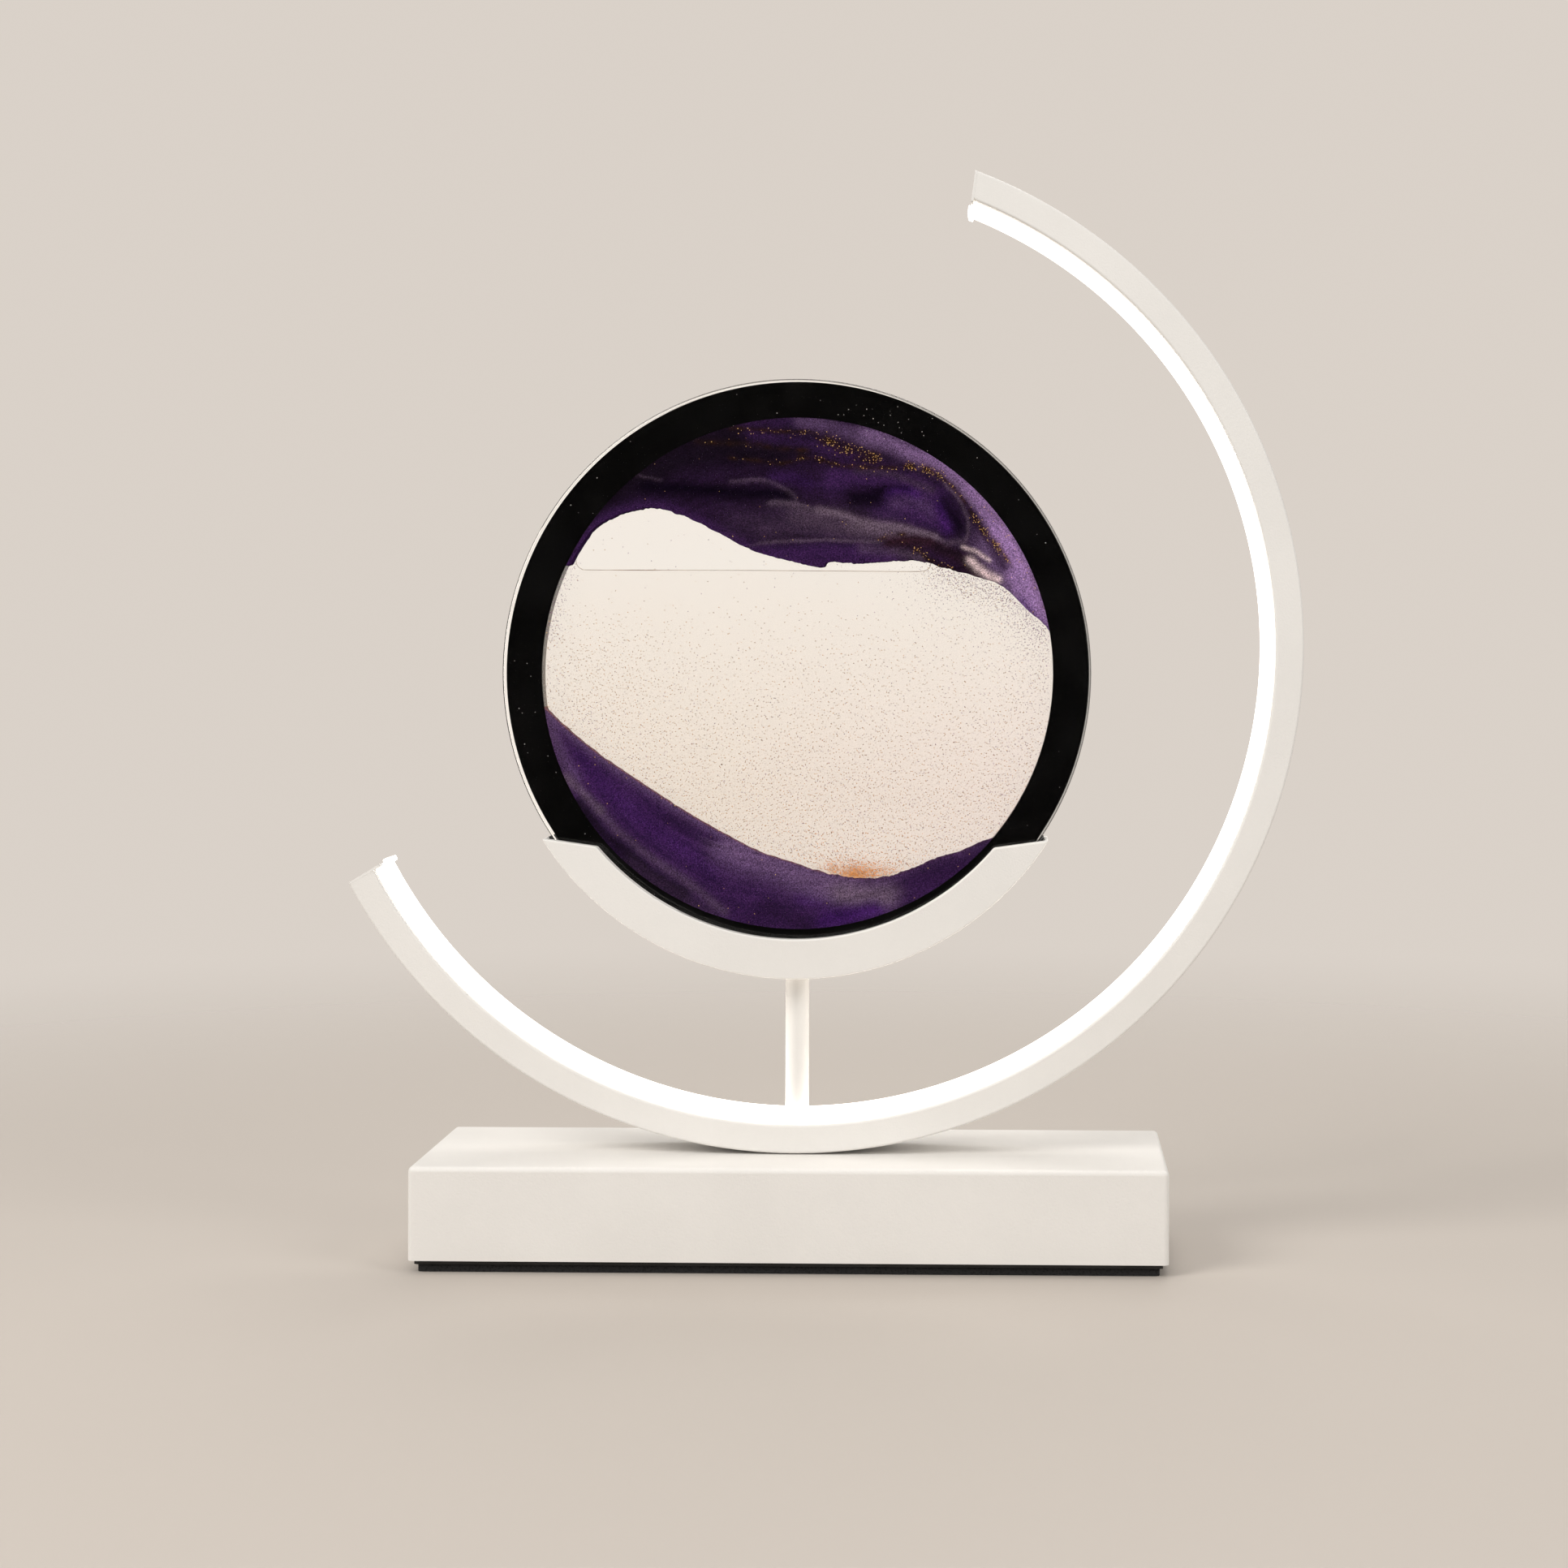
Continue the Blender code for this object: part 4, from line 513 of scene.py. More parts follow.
def lit_silicone():
    """Opal silicone, lit from behind. It glows like any bright surface, not as a lamp."""
    made = Finish("diffuser_finish", Emission_Strength=2.6)
    mist = made.noise(0.006, 3.0)
    made.colour(made.blend(mist, (0.92, 0.91, 0.88), (0.97, 0.96, 0.94)))
    made.roughness(0.40 + 0.12 * mist)
    glow = made.blend(mist.step(0.2, 0.8), (1.0, 0.92, 0.83), (1.0, 0.94, 0.87))
    made.feed(made.shader.inputs["Emission Color"], glow)
    made.bump(made.noise(0.0011, 1.0), 0.00002)
    made.material.cycles.emission_sampling = "NONE"
    return made.material


def light_strip():
    """White flexible strip with yellow lights standing on it, told apart by their radius."""
    made = Finish("strip_finish")
    split = made.make("ShaderNodeSeparateXYZ", {}, (made.place,))
    upright = Value(made, split.socket.node.outputs["Z"]) - ARC_CENTRE_Z
    across = Value(made, split.socket.node.outputs["X"])
    reach = (across * across + upright * upright).math("SQRT")
    strip_face = ARC_RADIUS - ARC_SHEET - GAP - STRIP_THICKNESS
    lamp = 1 - reach.step(strip_face - 0.0001, strip_face)
    made.colour(made.blend(lamp, (0.86, 0.85, 0.80), (0.92, 0.72, 0.22)))
    made.roughness(0.36 + 0.15 * made.noise(0.002))
    return made.material


def clear_glass():
    """Polished glass that lets the lamps' light through. The liquid behind it takes away most
    of its inner reflections, so its IOR is the lower one that gives the whole disc's gloss."""
    made = Finish("glass_finish", Transmission_Weight=1.0, IOR=1.33)
    smear = made.noise(0.020, 3.0)
    made.colour((0.995, 1.0, 0.998))
    made.roughness(0.004 + 0.010 * smear)
    made.let_through(made.make("ShaderNodeLightPath", output="Is Shadow Ray"), (0.98, 0.985, 0.98))
    return made.material


def black_enamel():
    made = Finish("ring_finish", Specular_IOR_Level=0.25)
    haze = made.noise(0.010, 4.0)
    made.colour(made.blend(haze.step(0.3, 0.8),
                           (0.0012, 0.0011, 0.0011), (0.0030, 0.0028, 0.0028)))
    made.roughness(0.05 + 0.05 * haze)
    return made.material


def cloudy_liquid():
    """Clear liquid with a cream haze that thickens downwards, rosy on the right, and orange
    where the finest gold has sunk together."""
    made = Finish("liquid_finish", Roughness=0.5, Specular_IOR_Level=0.0)
    cloud = made.noise(0.018, 4.0)
    amber = made.attribute("amber")
    cream = made.blend(made.attribute("rosy"), (0.47, 0.35, 0.25), (0.51, 0.355, 0.315))
    made.colour(made.blend(amber, cream, (0.70, 0.28, 0.05)))
    veil = 0.01 + 0.15 * made.attribute("haze") + 0.03 * cloud + 0.42 * amber
    made.feed(made.shader.inputs["Alpha"], veil)
    return made.material


def coloured_sand():
    """Sand in the tones painted on its points, broken up into light and dark grains."""
    made = Finish("sand_finish", Specular_IOR_Level=0.0)
    tone = made.attribute("tone", "Color")
    grain = made.noise(0.00045, 2.0, 0.8).step(0.34, 0.66)
    clump = made.noise(0.0016, 2.0, 0.6).step(0.30, 0.70)
    light = made.scaled(tone, 0.34 + grain * 1.08 + clump * 0.24)
    warm = made.make("ShaderNodeVectorMath", {"operation": "MULTIPLY"},
                     {0: light, 1: (1.35, 0.92, 0.55)})
    gilded = made.blend(made.attribute("gold") * grain, light, warm)
    return made.end(gilded, grain, 0.72, 0.2, 0.00008)


def sand_grains():
    """Single grains on the sand's face, each lighter or darker than the tone it lies in."""
    made = Finish("sand_grain_finish", Specular_IOR_Level=0.0, Roughness=0.8)
    pick = made.attribute("shade")
    lit = made.scaled(made.attribute("tone", "Color"), 0.20 + 2.4 * pick * pick)
    made.colour(made.blend(pick.step(0.86, 1.0) * 0.035, lit, (0.30, 0.22, 0.30)))
    return made.material


def grains(name, colour, shade, metallic=0.0, roughness=0.6):
    """Loose grains, each of its own shade."""
    made = Finish(name, Metallic=metallic, Specular_IOR_Level=0.2)
    made.colour(made.blend(made.attribute("shade"), shade, colour))
    made.roughness(roughness + 0.1 * made.noise(0.003))
    return made.material


def circuit_board():
    made = Finish("board_finish")
    tracks = made.cells(0.0026).step(0.30, 0.34)
    made.colour(made.blend(tracks, (0.03, 0.22, 0.10), (0.012, 0.11, 0.05)))
    made.roughness(0.30 + 0.2 * made.noise(0.001))
    made.bump(tracks, 0.00003)
    return made.material


def make_finishes():
    """The finish of every slot."""
    return {
        "white_paint": powder_coat("paint_finish", (0.87, 0.85, 0.82), (0.84, 0.82, 0.79)),
        "black_steel": satin_metal("black_steel_finish", (0.022, 0.022, 0.023),
                                   (0.012, 0.012, 0.012), 0.50, 0.0, 0.0006),
        "foam": closed_cell_foam(),
        "zinc": satin_metal("zinc_finish", (0.66, 0.66, 0.65), (0.48, 0.48, 0.50),
                            0.36, 1.0, 0.0008),
        "cast_steel": satin_metal("cast_steel_finish", (0.20, 0.20, 0.20), (0.11, 0.10, 0.10),
                                  0.60, 1.0, 0.0012),
        "board": circuit_board(),
        "component": moulded("component_finish", (0.035, 0.035, 0.036), (0.02, 0.02, 0.02), 0.50),
        "socket_black": moulded("socket_finish", (0.026, 0.026, 0.027),
                                (0.014, 0.014, 0.014), 0.42),
        "nylon": moulded("nylon_finish", (0.82, 0.81, 0.76), (0.72, 0.70, 0.64), 0.48),
        "diffuser": lit_silicone(),
        "strip_flex": light_strip(),
        "wire_red": moulded("red_wire_finish", (0.58, 0.03, 0.03), (0.44, 0.02, 0.02), 0.40),
        "wire_white": moulded("white_wire_finish", (0.82, 0.82, 0.80), (0.74, 0.73, 0.70), 0.40),
        "felt": felt(),
        "clear_glass": clear_glass(),
        "black_enamel": black_enamel(),
        "liquid": cloudy_liquid(),
        "sand": coloured_sand(),
        "rubber": moulded("rubber_finish", (0.035, 0.035, 0.036), (0.018, 0.018, 0.018), 0.72),
    }


FINISHES = make_finishes()


# Shapes

def add_object(name, data):
    obj = bpy.data.objects.new(name, data)
    bpy.context.scene.collection.objects.link(obj)
    return obj


def mesh_from(name, bm):
    mesh = bpy.data.meshes.new(name)
    bm.to_mesh(mesh)
    bm.free()
    return mesh


def new_object(name, bm, finish):
    """Turns a bmesh in place into an object with outward faces, smooth where it is round."""
    bmesh.ops.remove_doubles(bm, verts=bm.verts, dist=MERGE_BELOW)
    bmesh.ops.dissolve_degenerate(bm, edges=bm.edges, dist=MERGE_BELOW)
    bmesh.ops.recalc_face_normals(bm, faces=bm.faces)
    mesh = mesh_from(name, bm)
    mesh.shade_smooth()
    mesh.set_sharp_from_angle(angle=SMOOTH_BELOW)
    mesh.materials.clear()
    mesh.materials.append(finish)
    return add_object(name, mesh)


def settle(obj):
    """Replaces an object's live modifiers by the plain mesh that they make."""
    graph = bpy.context.evaluated_depsgraph_get()
    made = bpy.data.meshes.new_from_object(obj.evaluated_get(graph))
    obj.modifiers.clear()
    obj.data = made
    made.set_sharp_from_angle(angle=SMOOTH_BELOW)


def modify(obj, kind, **settings):
    """Runs one modifier on an object and keeps the plain mesh that it makes."""
    modifier = obj.modifiers.new(kind, kind)
    for name, setting in settings.items():
        setattr(modifier, name, setting)
    settle(obj)


def carve(obj, bm):
    """Cuts a shape out of an object."""
    cutter = new_object(obj.name + "_cutter", bm, obj.data.materials[0])
    modify(obj, "BOOLEAN", operation="DIFFERENCE", solver="EXACT", object=cutter)
    bpy.data.objects.remove(cutter, do_unlink=True)


def ease_edges(obj, width, segments):
    """Rounds the sharp edges of an object."""
    modify(obj, "BEVEL", width=width, segments=segments, limit_method="ANGLE",
           angle_limit=SMOOTH_BELOW)


def stands_for(obj, body, slot, *nodes):
    """Ties a finished piece to its body and hides the nodes it stands for.

    Normals are weighed by face size first, so that a flat face beside a round edge stays flat. The
    slot is not used.
    """
    if len(obj.data.polygons) < MOST_FACES_WEIGHED:
        modify(obj, "WEIGHTED_NORMAL", keep_sharp=True)
    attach(obj, body)
    if nodes:
        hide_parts(*nodes)


def piece(name, bm, body, slot, *nodes):
    """Turns a bmesh into a piece in its slot's finish."""
    stands_for(new_object(name, bm, FINISHES[slot]), body, slot, *nodes)


def loft(rings, capped=True):
    """A skin from ring to ring, closed at both ends if it is capped."""
    bm = bmesh.new()
    rows = [[bm.verts.new(point) for point in ring] for ring in rings]
    for row, following in zip(rows, rows[1:]):
        for i in range(len(row)):
            j = (i + 1) % len(row)
            bm.faces.new((row[i], row[j], following[j], following[i]))
    if capped:
        bm.faces.new(rows[0])
        bm.faces.new(rows[-1])
    return bm


def all_round(steps):
    return [math.tau * i / steps for i in range(steps)]


def side_to_side(steps):
    """Even steps from -1 to 1."""
    return [2 * i / steps - 1 for i in range(steps + 1)]


def turned(profile, steps, placed, closed=False):
    """A profile of (radius, height) turned about Z, then placed."""
    rings = [[placed @ Vector((radius * math.cos(t), radius * math.sin(t), height))
              for t in all_round(steps)] for radius, height in profile]
    return loft(rings + rings[:1] if closed else rings, not closed)


def box_shape(centre, size):
    bm = bmesh.new()
    bmesh.ops.create_cube(bm, size=1.0)
    bmesh.ops.scale(bm, vec=size, verts=bm.verts)
    bmesh.ops.translate(bm, vec=centre, verts=bm.verts)
    return bm


def facing_back(x, y, z):
    return Matrix.Translation((x, y, z)) @ Matrix.Rotation(-math.pi / 2, 4, "X")


DISC_PLACE = facing_back(0, 0, DISC_AXIS_Z)


def smooth_through(points, steps):
    """A smooth line through points, each stretch in even steps."""
    points = [Vector(p) for p in points]
    run = [points[0] * 2 - points[1], *points, points[-1] * 2 - points[-2]]
    made = []
    for a, b, c, d in zip(run, run[1:], run[2:], run[3:]):
        for i in range(steps):
            t = i / steps
            bend = (2 * a - 5 * b + 4 * c - d) * t * t + (3 * b - a - 3 * c + d) * t ** 3
            made.append(b + ((c - a) * t + bend) / 2)
    made.append(points[-1])
    return made


# Base

def make_base_cover():
    """The folded steel cover with round bends, and the hole for the socket in its rear."""
    bm = box_shape((BASE_LOW + BASE_HIGH) / 2, BASE_HIGH - BASE_LOW)
    floor = min(bm.faces, key=lambda face: face.calc_center_median().z)
    bmesh.ops.delete(bm, geom=[floor], context="FACES_ONLY")
    folds = [e for e in bm.edges if not e.is_boundary]
    bmesh.ops.bevel(bm, geom=folds, offset=COVER_BEND_RADIUS, segments=2 * BEND_STEPS,
                    profile=0.5, affect="EDGES")
    cover = new_object("base_cover_painted", bm, FINISHES["white_paint"])
    modify(cover, "SOLIDIFY", thickness=COVER_SHEET, offset=-1, use_even_offset=True)
    centre = middle("power_inlet")
    hole_radius = INLET_BODY_RADIUS + GAP
    carve(cover, turned([(hole_radius, -COVER_SHEET - CUT_OVERRUN), (hole_radius, CUT_OVERRUN)],
                        INLET_STEPS, facing_back(centre.x, BASE_HIGH.y, centre.z)))
    stands_for(cover, LAMP, "white_paint", "base_cover")


def make_power_inlet():
    """The socket in the rear wall, with its bright pin inside."""
    box_low = low("power_inlet")
    box_high = high("power_inlet")
    centre = middle("power_inlet")
    placed = facing_back(centre.x, box_low.y, centre.z)
    length = box_high.y - box_low.y
    flange = (box_high.x - box_low.x) / 2
    edge = INLET_FLANGE_ROUNDING
    profile = [
        (INLET_BODY_RADIUS, 0), (INLET_BODY_RADIUS, length - INLET_FLANGE_THICKNESS),
        (flange, length - INLET_FLANGE_THICKNESS), (flange, length - edge),
        (flange - edge, length), (INLET_BORE_RADIUS + edge, length),
        (INLET_BORE_RADIUS, length - edge), (INLET_BORE_RADIUS, length - INLET_BORE_DEPTH),
    ]
    piece("power_inlet_shell", turned(profile, INLET_STEPS, placed), LAMP,
          "socket_black", "power_inlet")
    tip = length - INLET_PIN_RECESS
    pin = [(INLET_PIN_RADIUS, length - INLET_BORE_DEPTH + edge), (INLET_PIN_RADIUS, tip - edge),
           (INLET_PIN_RADIUS - edge, tip)]
    piece("power_inlet_pin", turned(pin, SCREW_STEPS, placed), LAMP, "zinc")


def screw_shape():
    """A pan head screw with a cross recess, head down, its bearing face at the origin."""
    rounding = SCREW_HEAD_ROUNDING
    profile = [
        (SCREW_HEAD_RADIUS - rounding, -SCREW_HEAD_HEIGHT),
        (SCREW_HEAD_RADIUS - rounding * 0.3, -SCREW_HEAD_HEIGHT + rounding * 0.3),
        (SCREW_HEAD_RADIUS, -SCREW_HEAD_HEIGHT + rounding), (SCREW_HEAD_RADIUS, 0),
        (SCREW_SHANK_RADIUS, 0), (SCREW_SHANK_RADIUS, SCREW_LENGTH),
    ]
    screw = new_object("screw_shape", turned(profile, SCREW_STEPS, Matrix()),
                       FINISHES["black_steel"])
    for length, width in ((RECESS_LENGTH, RECESS_WIDTH), (RECESS_WIDTH, RECESS_LENGTH)):
        carve(screw, box_shape((0, 0, -SCREW_HEAD_HEIGHT), (length, width, 2 * RECESS_DEPTH)))
    return screw


def make_bottom_screws():
    """The screws under the base: one shape set out on the places of the frame's screws."""
    nodes = [f"bottom_plate_screw_{i}" for i in range(1, 5)]
    nodes += [f"ballast_screw_{i}" for i in range(1, 3)]
    places = bmesh.new()
    for node in nodes:
        x, y, _ = middle(node)
        places.verts.new((x, y, low(node).z + SCREW_HEAD_HEIGHT))
    screws = add_object("bottom_screws", mesh_from("bottom_screws", places))
    shape = screw_shape()
    set_out(screws, set_out_tree(), {"Shape": shape, "Finish": FINISHES["black_steel"]})
    bpy.data.objects.remove(shape, do_unlink=True)
    stands_for(screws, LAMP, "black_steel", *nodes)


# Geometry node trees

def tree_with(name, **inputs):
    """A new tree with its named inputs, and those inputs as values."""
    tree = bpy.data.node_groups.new(name, "GeometryNodeTree")
    for title, kind in {"Geometry": "Geometry", **inputs}.items():
        tree.interface.new_socket(title, in_out="INPUT", socket_type="NodeSocket" + kind)
    tree.interface.new_socket("Geometry", in_out="OUTPUT", socket_type="NodeSocketGeometry")
    made = Tree(tree)
    given = tree.nodes.new("NodeGroupInput")
    return made, {s.name: Value(made, s) for s in given.outputs if s.name}


def set_out_tree():
    """Sets a shape out on the points of a mesh."""
    made, asked = tree_with("set_out_on_points", Shape="Object", Finish="Material")
    shape = made.make("GeometryNodeObjectInfo", {}, {"Object": asked["Shape"]}, output="Geometry")
    placed = made.make("GeometryNodeInstanceOnPoints", {},
                       {"Points": asked["Geometry"], "Instance": shape})
    return finish_off(made, placed, asked["Finish"])


def scatter_tree():
    """Scatters small eight-sided grains over a sheet, as densely as its attribute share says."""
    made, asked = tree_with("scatter_grains", Density="Float", Smallest="Float", Largest="Float",
                            Seed="Int", Finish="Material")
    share = made.make("GeometryNodeInputNamedAttribute", {"data_type": "FLOAT"}, {"Name": "share"})
    points = made.make("GeometryNodeDistributePointsOnFaces", {"distribute_method": "RANDOM"}, {
        "Mesh": asked["Geometry"], "Density": asked["Density"] * share, "Seed": asked["Seed"]})
    grain = made.make("GeometryNodeMeshUVSphere", {}, {"Segments": 4, "Rings": 2, "Radius": 1.0})
    size = made.make("FunctionNodeRandomValue", {"data_type": "FLOAT"}, {
        2: asked["Smallest"], 3: asked["Largest"], "Seed": asked["Seed"]}, output=1)
    rotation = made.make("FunctionNodeRandomValue", {"data_type": "FLOAT_VECTOR"}, {
        0: (0, 0, 0), 1: (math.tau, math.tau, math.tau), "Seed": asked["Seed"]})
    shade = made.make("FunctionNodeRandomValue", {"data_type": "FLOAT"}, {
        2: 0.0, 3: 1.0, "Seed": asked["Seed"] + 40}, output=1)
    points = made.make("GeometryNodeStoreNamedAttribute", {"data_type": "FLOAT", "domain": "POINT"},
                       {"Geometry": points, "Name": "shade", "Value": shade})
    placed = made.make("GeometryNodeInstanceOnPoints", {}, {
        "Points": points, "Instance": grain, "Rotation": rotation, "Scale": size})
    return finish_off(made, placed, asked["Finish"])


def finish_off(made, instances, finish):
    """Ends a tree: real meshes with their finish."""
    real = made.make("GeometryNodeRealizeInstances", {}, {"Geometry": instances})
    finished = made.make("GeometryNodeSetMaterial", {}, {"Geometry": real, "Material": finish})
    output = made.tree.nodes.new("NodeGroupOutput")
    made.feed(output.inputs[0], finished)
    return made.tree


def set_out(obj, tree, inputs):
    """Runs a tree on an object and keeps the plain mesh that it makes."""
    modifier = obj.modifiers.new(tree.name, "NODES")
    modifier.node_group = tree
    for item in tree.interface.items_tree:
        if item.in_out == "INPUT" and item.name in inputs:
            modifier[item.identifier] = inputs[item.name]
    settle(obj)
    obj.data.materials.clear()
    obj.data.materials.append(inputs["Finish"])
    obj.data.polygons.foreach_set("material_index", [0] * len(obj.data.polygons))


SCATTER = scatter_tree()


# Arc

def arc_ring(section, angle, outward=0, tilt=0):
    """A cross-section of (radius, across) set up square to the arc, or tilted and shifted."""
    radial = Vector((math.cos(angle), 0, math.sin(angle)))
    along = Vector((-math.sin(angle), 0, math.cos(angle)))
    centre = Vector((0, 0, ARC_CENTRE_Z))
    ring = []
    for radius, across in section:
        slide = outward + (ARC_RADIUS - radius) * math.tan(tilt)
        ring.append(centre + radial * radius + Vector((0, across, 0)) + along * slide)
    return ring


def lower_end_ring(section, outward):
    return arc_ring(section, ARC_LOWER_END, -outward, -ARC_LOWER_CUT_TILT)


def upper_end_ring(section, outward):
    return arc_ring(section, ARC_UPPER_END, outward, ARC_UPPER_CUT_TILT)


def sweep_whole_arc(section, gap=GAP):
    """A cross-section led along the arc, ending a gap inside each end plate."""
    inside = -(END_PLATE_THICKNESS + gap)
    span = ARC_UPPER_END - ARC_LOWER_END
    turns = [ARC_LOWER_END + span * i / ARC_STEPS for i in range(2, ARC_STEPS - 1)]
    between = [arc_ring(section, angle) for angle in turns]
    return loft([lower_end_ring(section, inside), *between, upper_end_ring(section, inside)])


def bend(radius_at, across_at, inward, side):
    """The round bend of the channel from its side wall to its floor or lip."""
    points = []
    for i in range(BEND_STEPS + 1):
        t = i / BEND_STEPS * math.pi / 2
        points.append((radius_at + inward * ARC_BEND_RADIUS * (1 - math.sin(t)),
                       across_at - side * ARC_BEND_RADIUS * (1 - math.cos(t))))
    return points


def channel_section():
    inner_half = ARC_HALF_DEPTH - ARC_SHEET
    mouth_half = DIFFUSER_HALF_WIDTH + GAP
    under_lip = LIP_RADIUS + ARC_SHEET
    floor = ARC_RADIUS - ARC_SHEET
    near = [(LIP_RADIUS, mouth_half)]
    near += bend(LIP_RADIUS, ARC_HALF_DEPTH, 1, 1)[::-1]
    near += bend(ARC_RADIUS, ARC_HALF_DEPTH, -1, 1)
    far = [(radius, -across) for radius, across in reversed(near)]
    inside = [(under_lip, -mouth_half), (under_lip, -inner_half), (floor, -inner_half),
              (floor, inner_half), (under_lip, inner_half), (under_lip, mouth_half)]
    return near + far + inside


def diffuser_section():
    """A crowned cover with rounded shoulders, and a flange behind each lip."""
    half = DIFFUSER_HALF_WIDTH
    flange_top = LIP_RADIUS + ARC_SHEET + GAP
    flange_bottom = flange_top + DIFFUSER_WALL
    flange_half = ARC_HALF_DEPTH - ARC_SHEET - GAP
    rounding = DIFFUSER_SHOULDER_ROUNDING
    outside = [(SHOULDER_RADIUS - DIFFUSER_CROWN * (1 - t * t), (half - rounding) * t)
               for t in reversed(side_to_side(CROWN_STEPS))]
    inner_half = half - DIFFUSER_WALL
    inside = [(SHOULDER_RADIUS + DIFFUSER_WALL, across) for across in (-inner_half, inner_half)]
    right = [(flange_bottom, inner_half), (flange_bottom, flange_half), (flange_top, flange_half),
             (flange_top, half), (SHOULDER_RADIUS + rounding, half)]
    left = [(radius, -across) for radius, across in reversed(right)]
    return right + outside + left + inside


def make_arc():
    piece("arc_channel_painted", sweep_whole_arc(channel_section(), WELD_GAP), LAMP,
          "white_paint", "arc_channel")
    diffuser = new_object("arc_diffuser_lit", sweep_whole_arc(diffuser_section()),
                          FINISHES["diffuser"])
    foot = ARC_CENTRE_Z - SHOULDER_RADIUS
    carve(diffuser, turned([(POST_RADIUS + GAP, foot - DIFFUSER_WALL - CUT_OVERRUN),
                            (POST_RADIUS + GAP, foot + DIFFUSER_CROWN + CUT_OVERRUN)],
                           INLET_STEPS, Matrix()))
    stands_for(diffuser, LAMP, "diffuser", "arc_diffuser")


def smooth_copy(node, name, slot, edge=0):
    """A node's own shape with its round sides shaded smooth and its edges eased."""
    bm = bmesh.new()
    bm.from_mesh(frame["nodes"][node].data)
    bmesh.ops.transform(bm, matrix=frame["nodes"][node].matrix_world, verts=bm.verts)
    bmesh.ops.remove_doubles(bm, verts=bm.verts, dist=MERGE_COPIED_BELOW)
    bmesh.ops.dissolve_limit(bm, angle_limit=math.radians(1), verts=bm.verts, edges=bm.edges)
    copy = new_object(name, bm, FINISHES[slot])
    if edge:
        ease_edges(copy, edge, 3)
    stands_for(copy, LAMP, slot, node)


# Cradle

def make_cradle():
    """The cradle: a crescent with rounded lips, grooved for the disc."""
    outline = []
    for radius, half_span in ((CRADLE_RADIUS, CRADLE_OUTER_HALF_SPAN),
                              (CRADLE_LIP_CIRCLE, -CRADLE_INNER_HALF_SPAN)):
        for share in side_to_side(CRADLE_STEPS):
            t = half_span * share
            outline.append((radius * math.sin(t), CRADLE_CENTRE_Z - radius * math.cos(t)))
    sides = [[Vector((x, y, z)) for x, z in outline]
             for y in (-CRADLE_HALF_DEPTH, CRADLE_HALF_DEPTH)]
    cradle = new_object("cradle_painted", loft(sides), FINISHES["white_paint"])
    ease_edges(cradle, CRADLE_LIP_ROUNDING, BEND_STEPS)
    carve(cradle, turned([(GROOVE_RADIUS, -GROOVE_HALF_WIDTH), (GROOVE_RADIUS, GROOVE_HALF_WIDTH)],
                         DISC_STEPS, DISC_PLACE))
    stands_for(cradle, LAMP, "white_paint", "cradle")


def make_felt():
    """The felt in the groove. Its two ends are cut by hand and a little ragged."""
    rings = []
    for i, share in enumerate(side_to_side(FELT_STEPS)):
        t = -math.pi / 2 + FELT_HALF_SPAN * share
        ring = []
        for radius, across in felt_section():
            fray = 0
            if i in (0, FELT_STEPS):
                fray = FELT_END_RAGGED * noise.noise(Vector((i, across * 900, radius * 900)))
            angle = t + fray / radius
            ring.append(Vector((radius * math.cos(angle), across,
                                DISC_AXIS_Z + radius * math.sin(angle))))
        rings.append(ring)
    piece("cradle_felt_strip", loft(rings), LAMP, "felt", "cradle_felt")


def felt_section():
    across = [FELT_HALF_WIDTH * share for share in side_to_side(FELT_WIDTH_STEPS)]
    inner = [(FELT_INNER_RADIUS, y) for y in across]
    outer = [(FELT_OUTER_RADIUS, y) for y in reversed(across)]
    return inner + outer


# Sand disc

def make_glass():
    bevel = GLASS_EDGE_BEVEL
    for node in ("disc_front_glass", "disc_back_glass"):
        near = low(node).y
        far = high(node).y
        profile = [
            (DISC_RADIUS - 2 * bevel, near), (DISC_RADIUS - bevel, near),
            (DISC_RADIUS - bevel * 0.3, near + bevel * 0.3), (DISC_RADIUS, near + bevel),
            (DISC_RADIUS, far - bevel), (DISC_RADIUS - bevel * 0.3, far - bevel * 0.3),
            (DISC_RADIUS - bevel, far), (DISC_RADIUS - 2 * bevel, far),
        ]
        piece(node + "_clear", turned(profile, DISC_STEPS, DISC_PLACE), DISC, "clear_glass", node)


def make_ring():
    half = CHAMBER_HALF_DEPTH
    bevel = RING_EDGE_BEVEL
    profile = [
        (WINDOW_RADIUS, -half + bevel), (WINDOW_RADIUS + bevel, -half),
        (RING_RADIUS - bevel, -half), (RING_RADIUS, -half + bevel),
        (RING_RADIUS, half - bevel), (RING_RADIUS - bevel, half),
        (WINDOW_RADIUS + bevel, half), (WINDOW_RADIUS, half - bevel),
    ]
    piece("disc_ring_enamelled", turned(profile, DISC_STEPS, DISC_PLACE, closed=True), DISC,
          "black_enamel", "disc_ring")


def edge_heights(shares, steps=16):
    """A function that gives the height of a sand edge at a place across, in shares."""
    run = smooth_through(shares, steps)

    def height(x):
        for a, b in zip(run, run[1:]):
            if x <= b.x:
                return a.y + (b.y - a.y) * (x - a.x) / max(b.x - a.x, 1e-9)
        return run[-1].y

    return height


def ragged(x, seed):
    """The small unevenness of a sand edge, in shares."""
    fine = noise.noise(Vector((x * 90, seed, 0)))
    coarse = noise.noise(Vector((x * 28, seed, 5)))
    return 0.0035 * fine + 0.0045 * coarse


def rim_height(x):
    return math.sqrt(max(0.0, 1 - x * x))


UPPER_EDGE = edge_heights(UPPER_SAND_EDGE_SHARES)
LOWER_EDGE = edge_heights(LOWER_SAND_EDGE_SHARES)


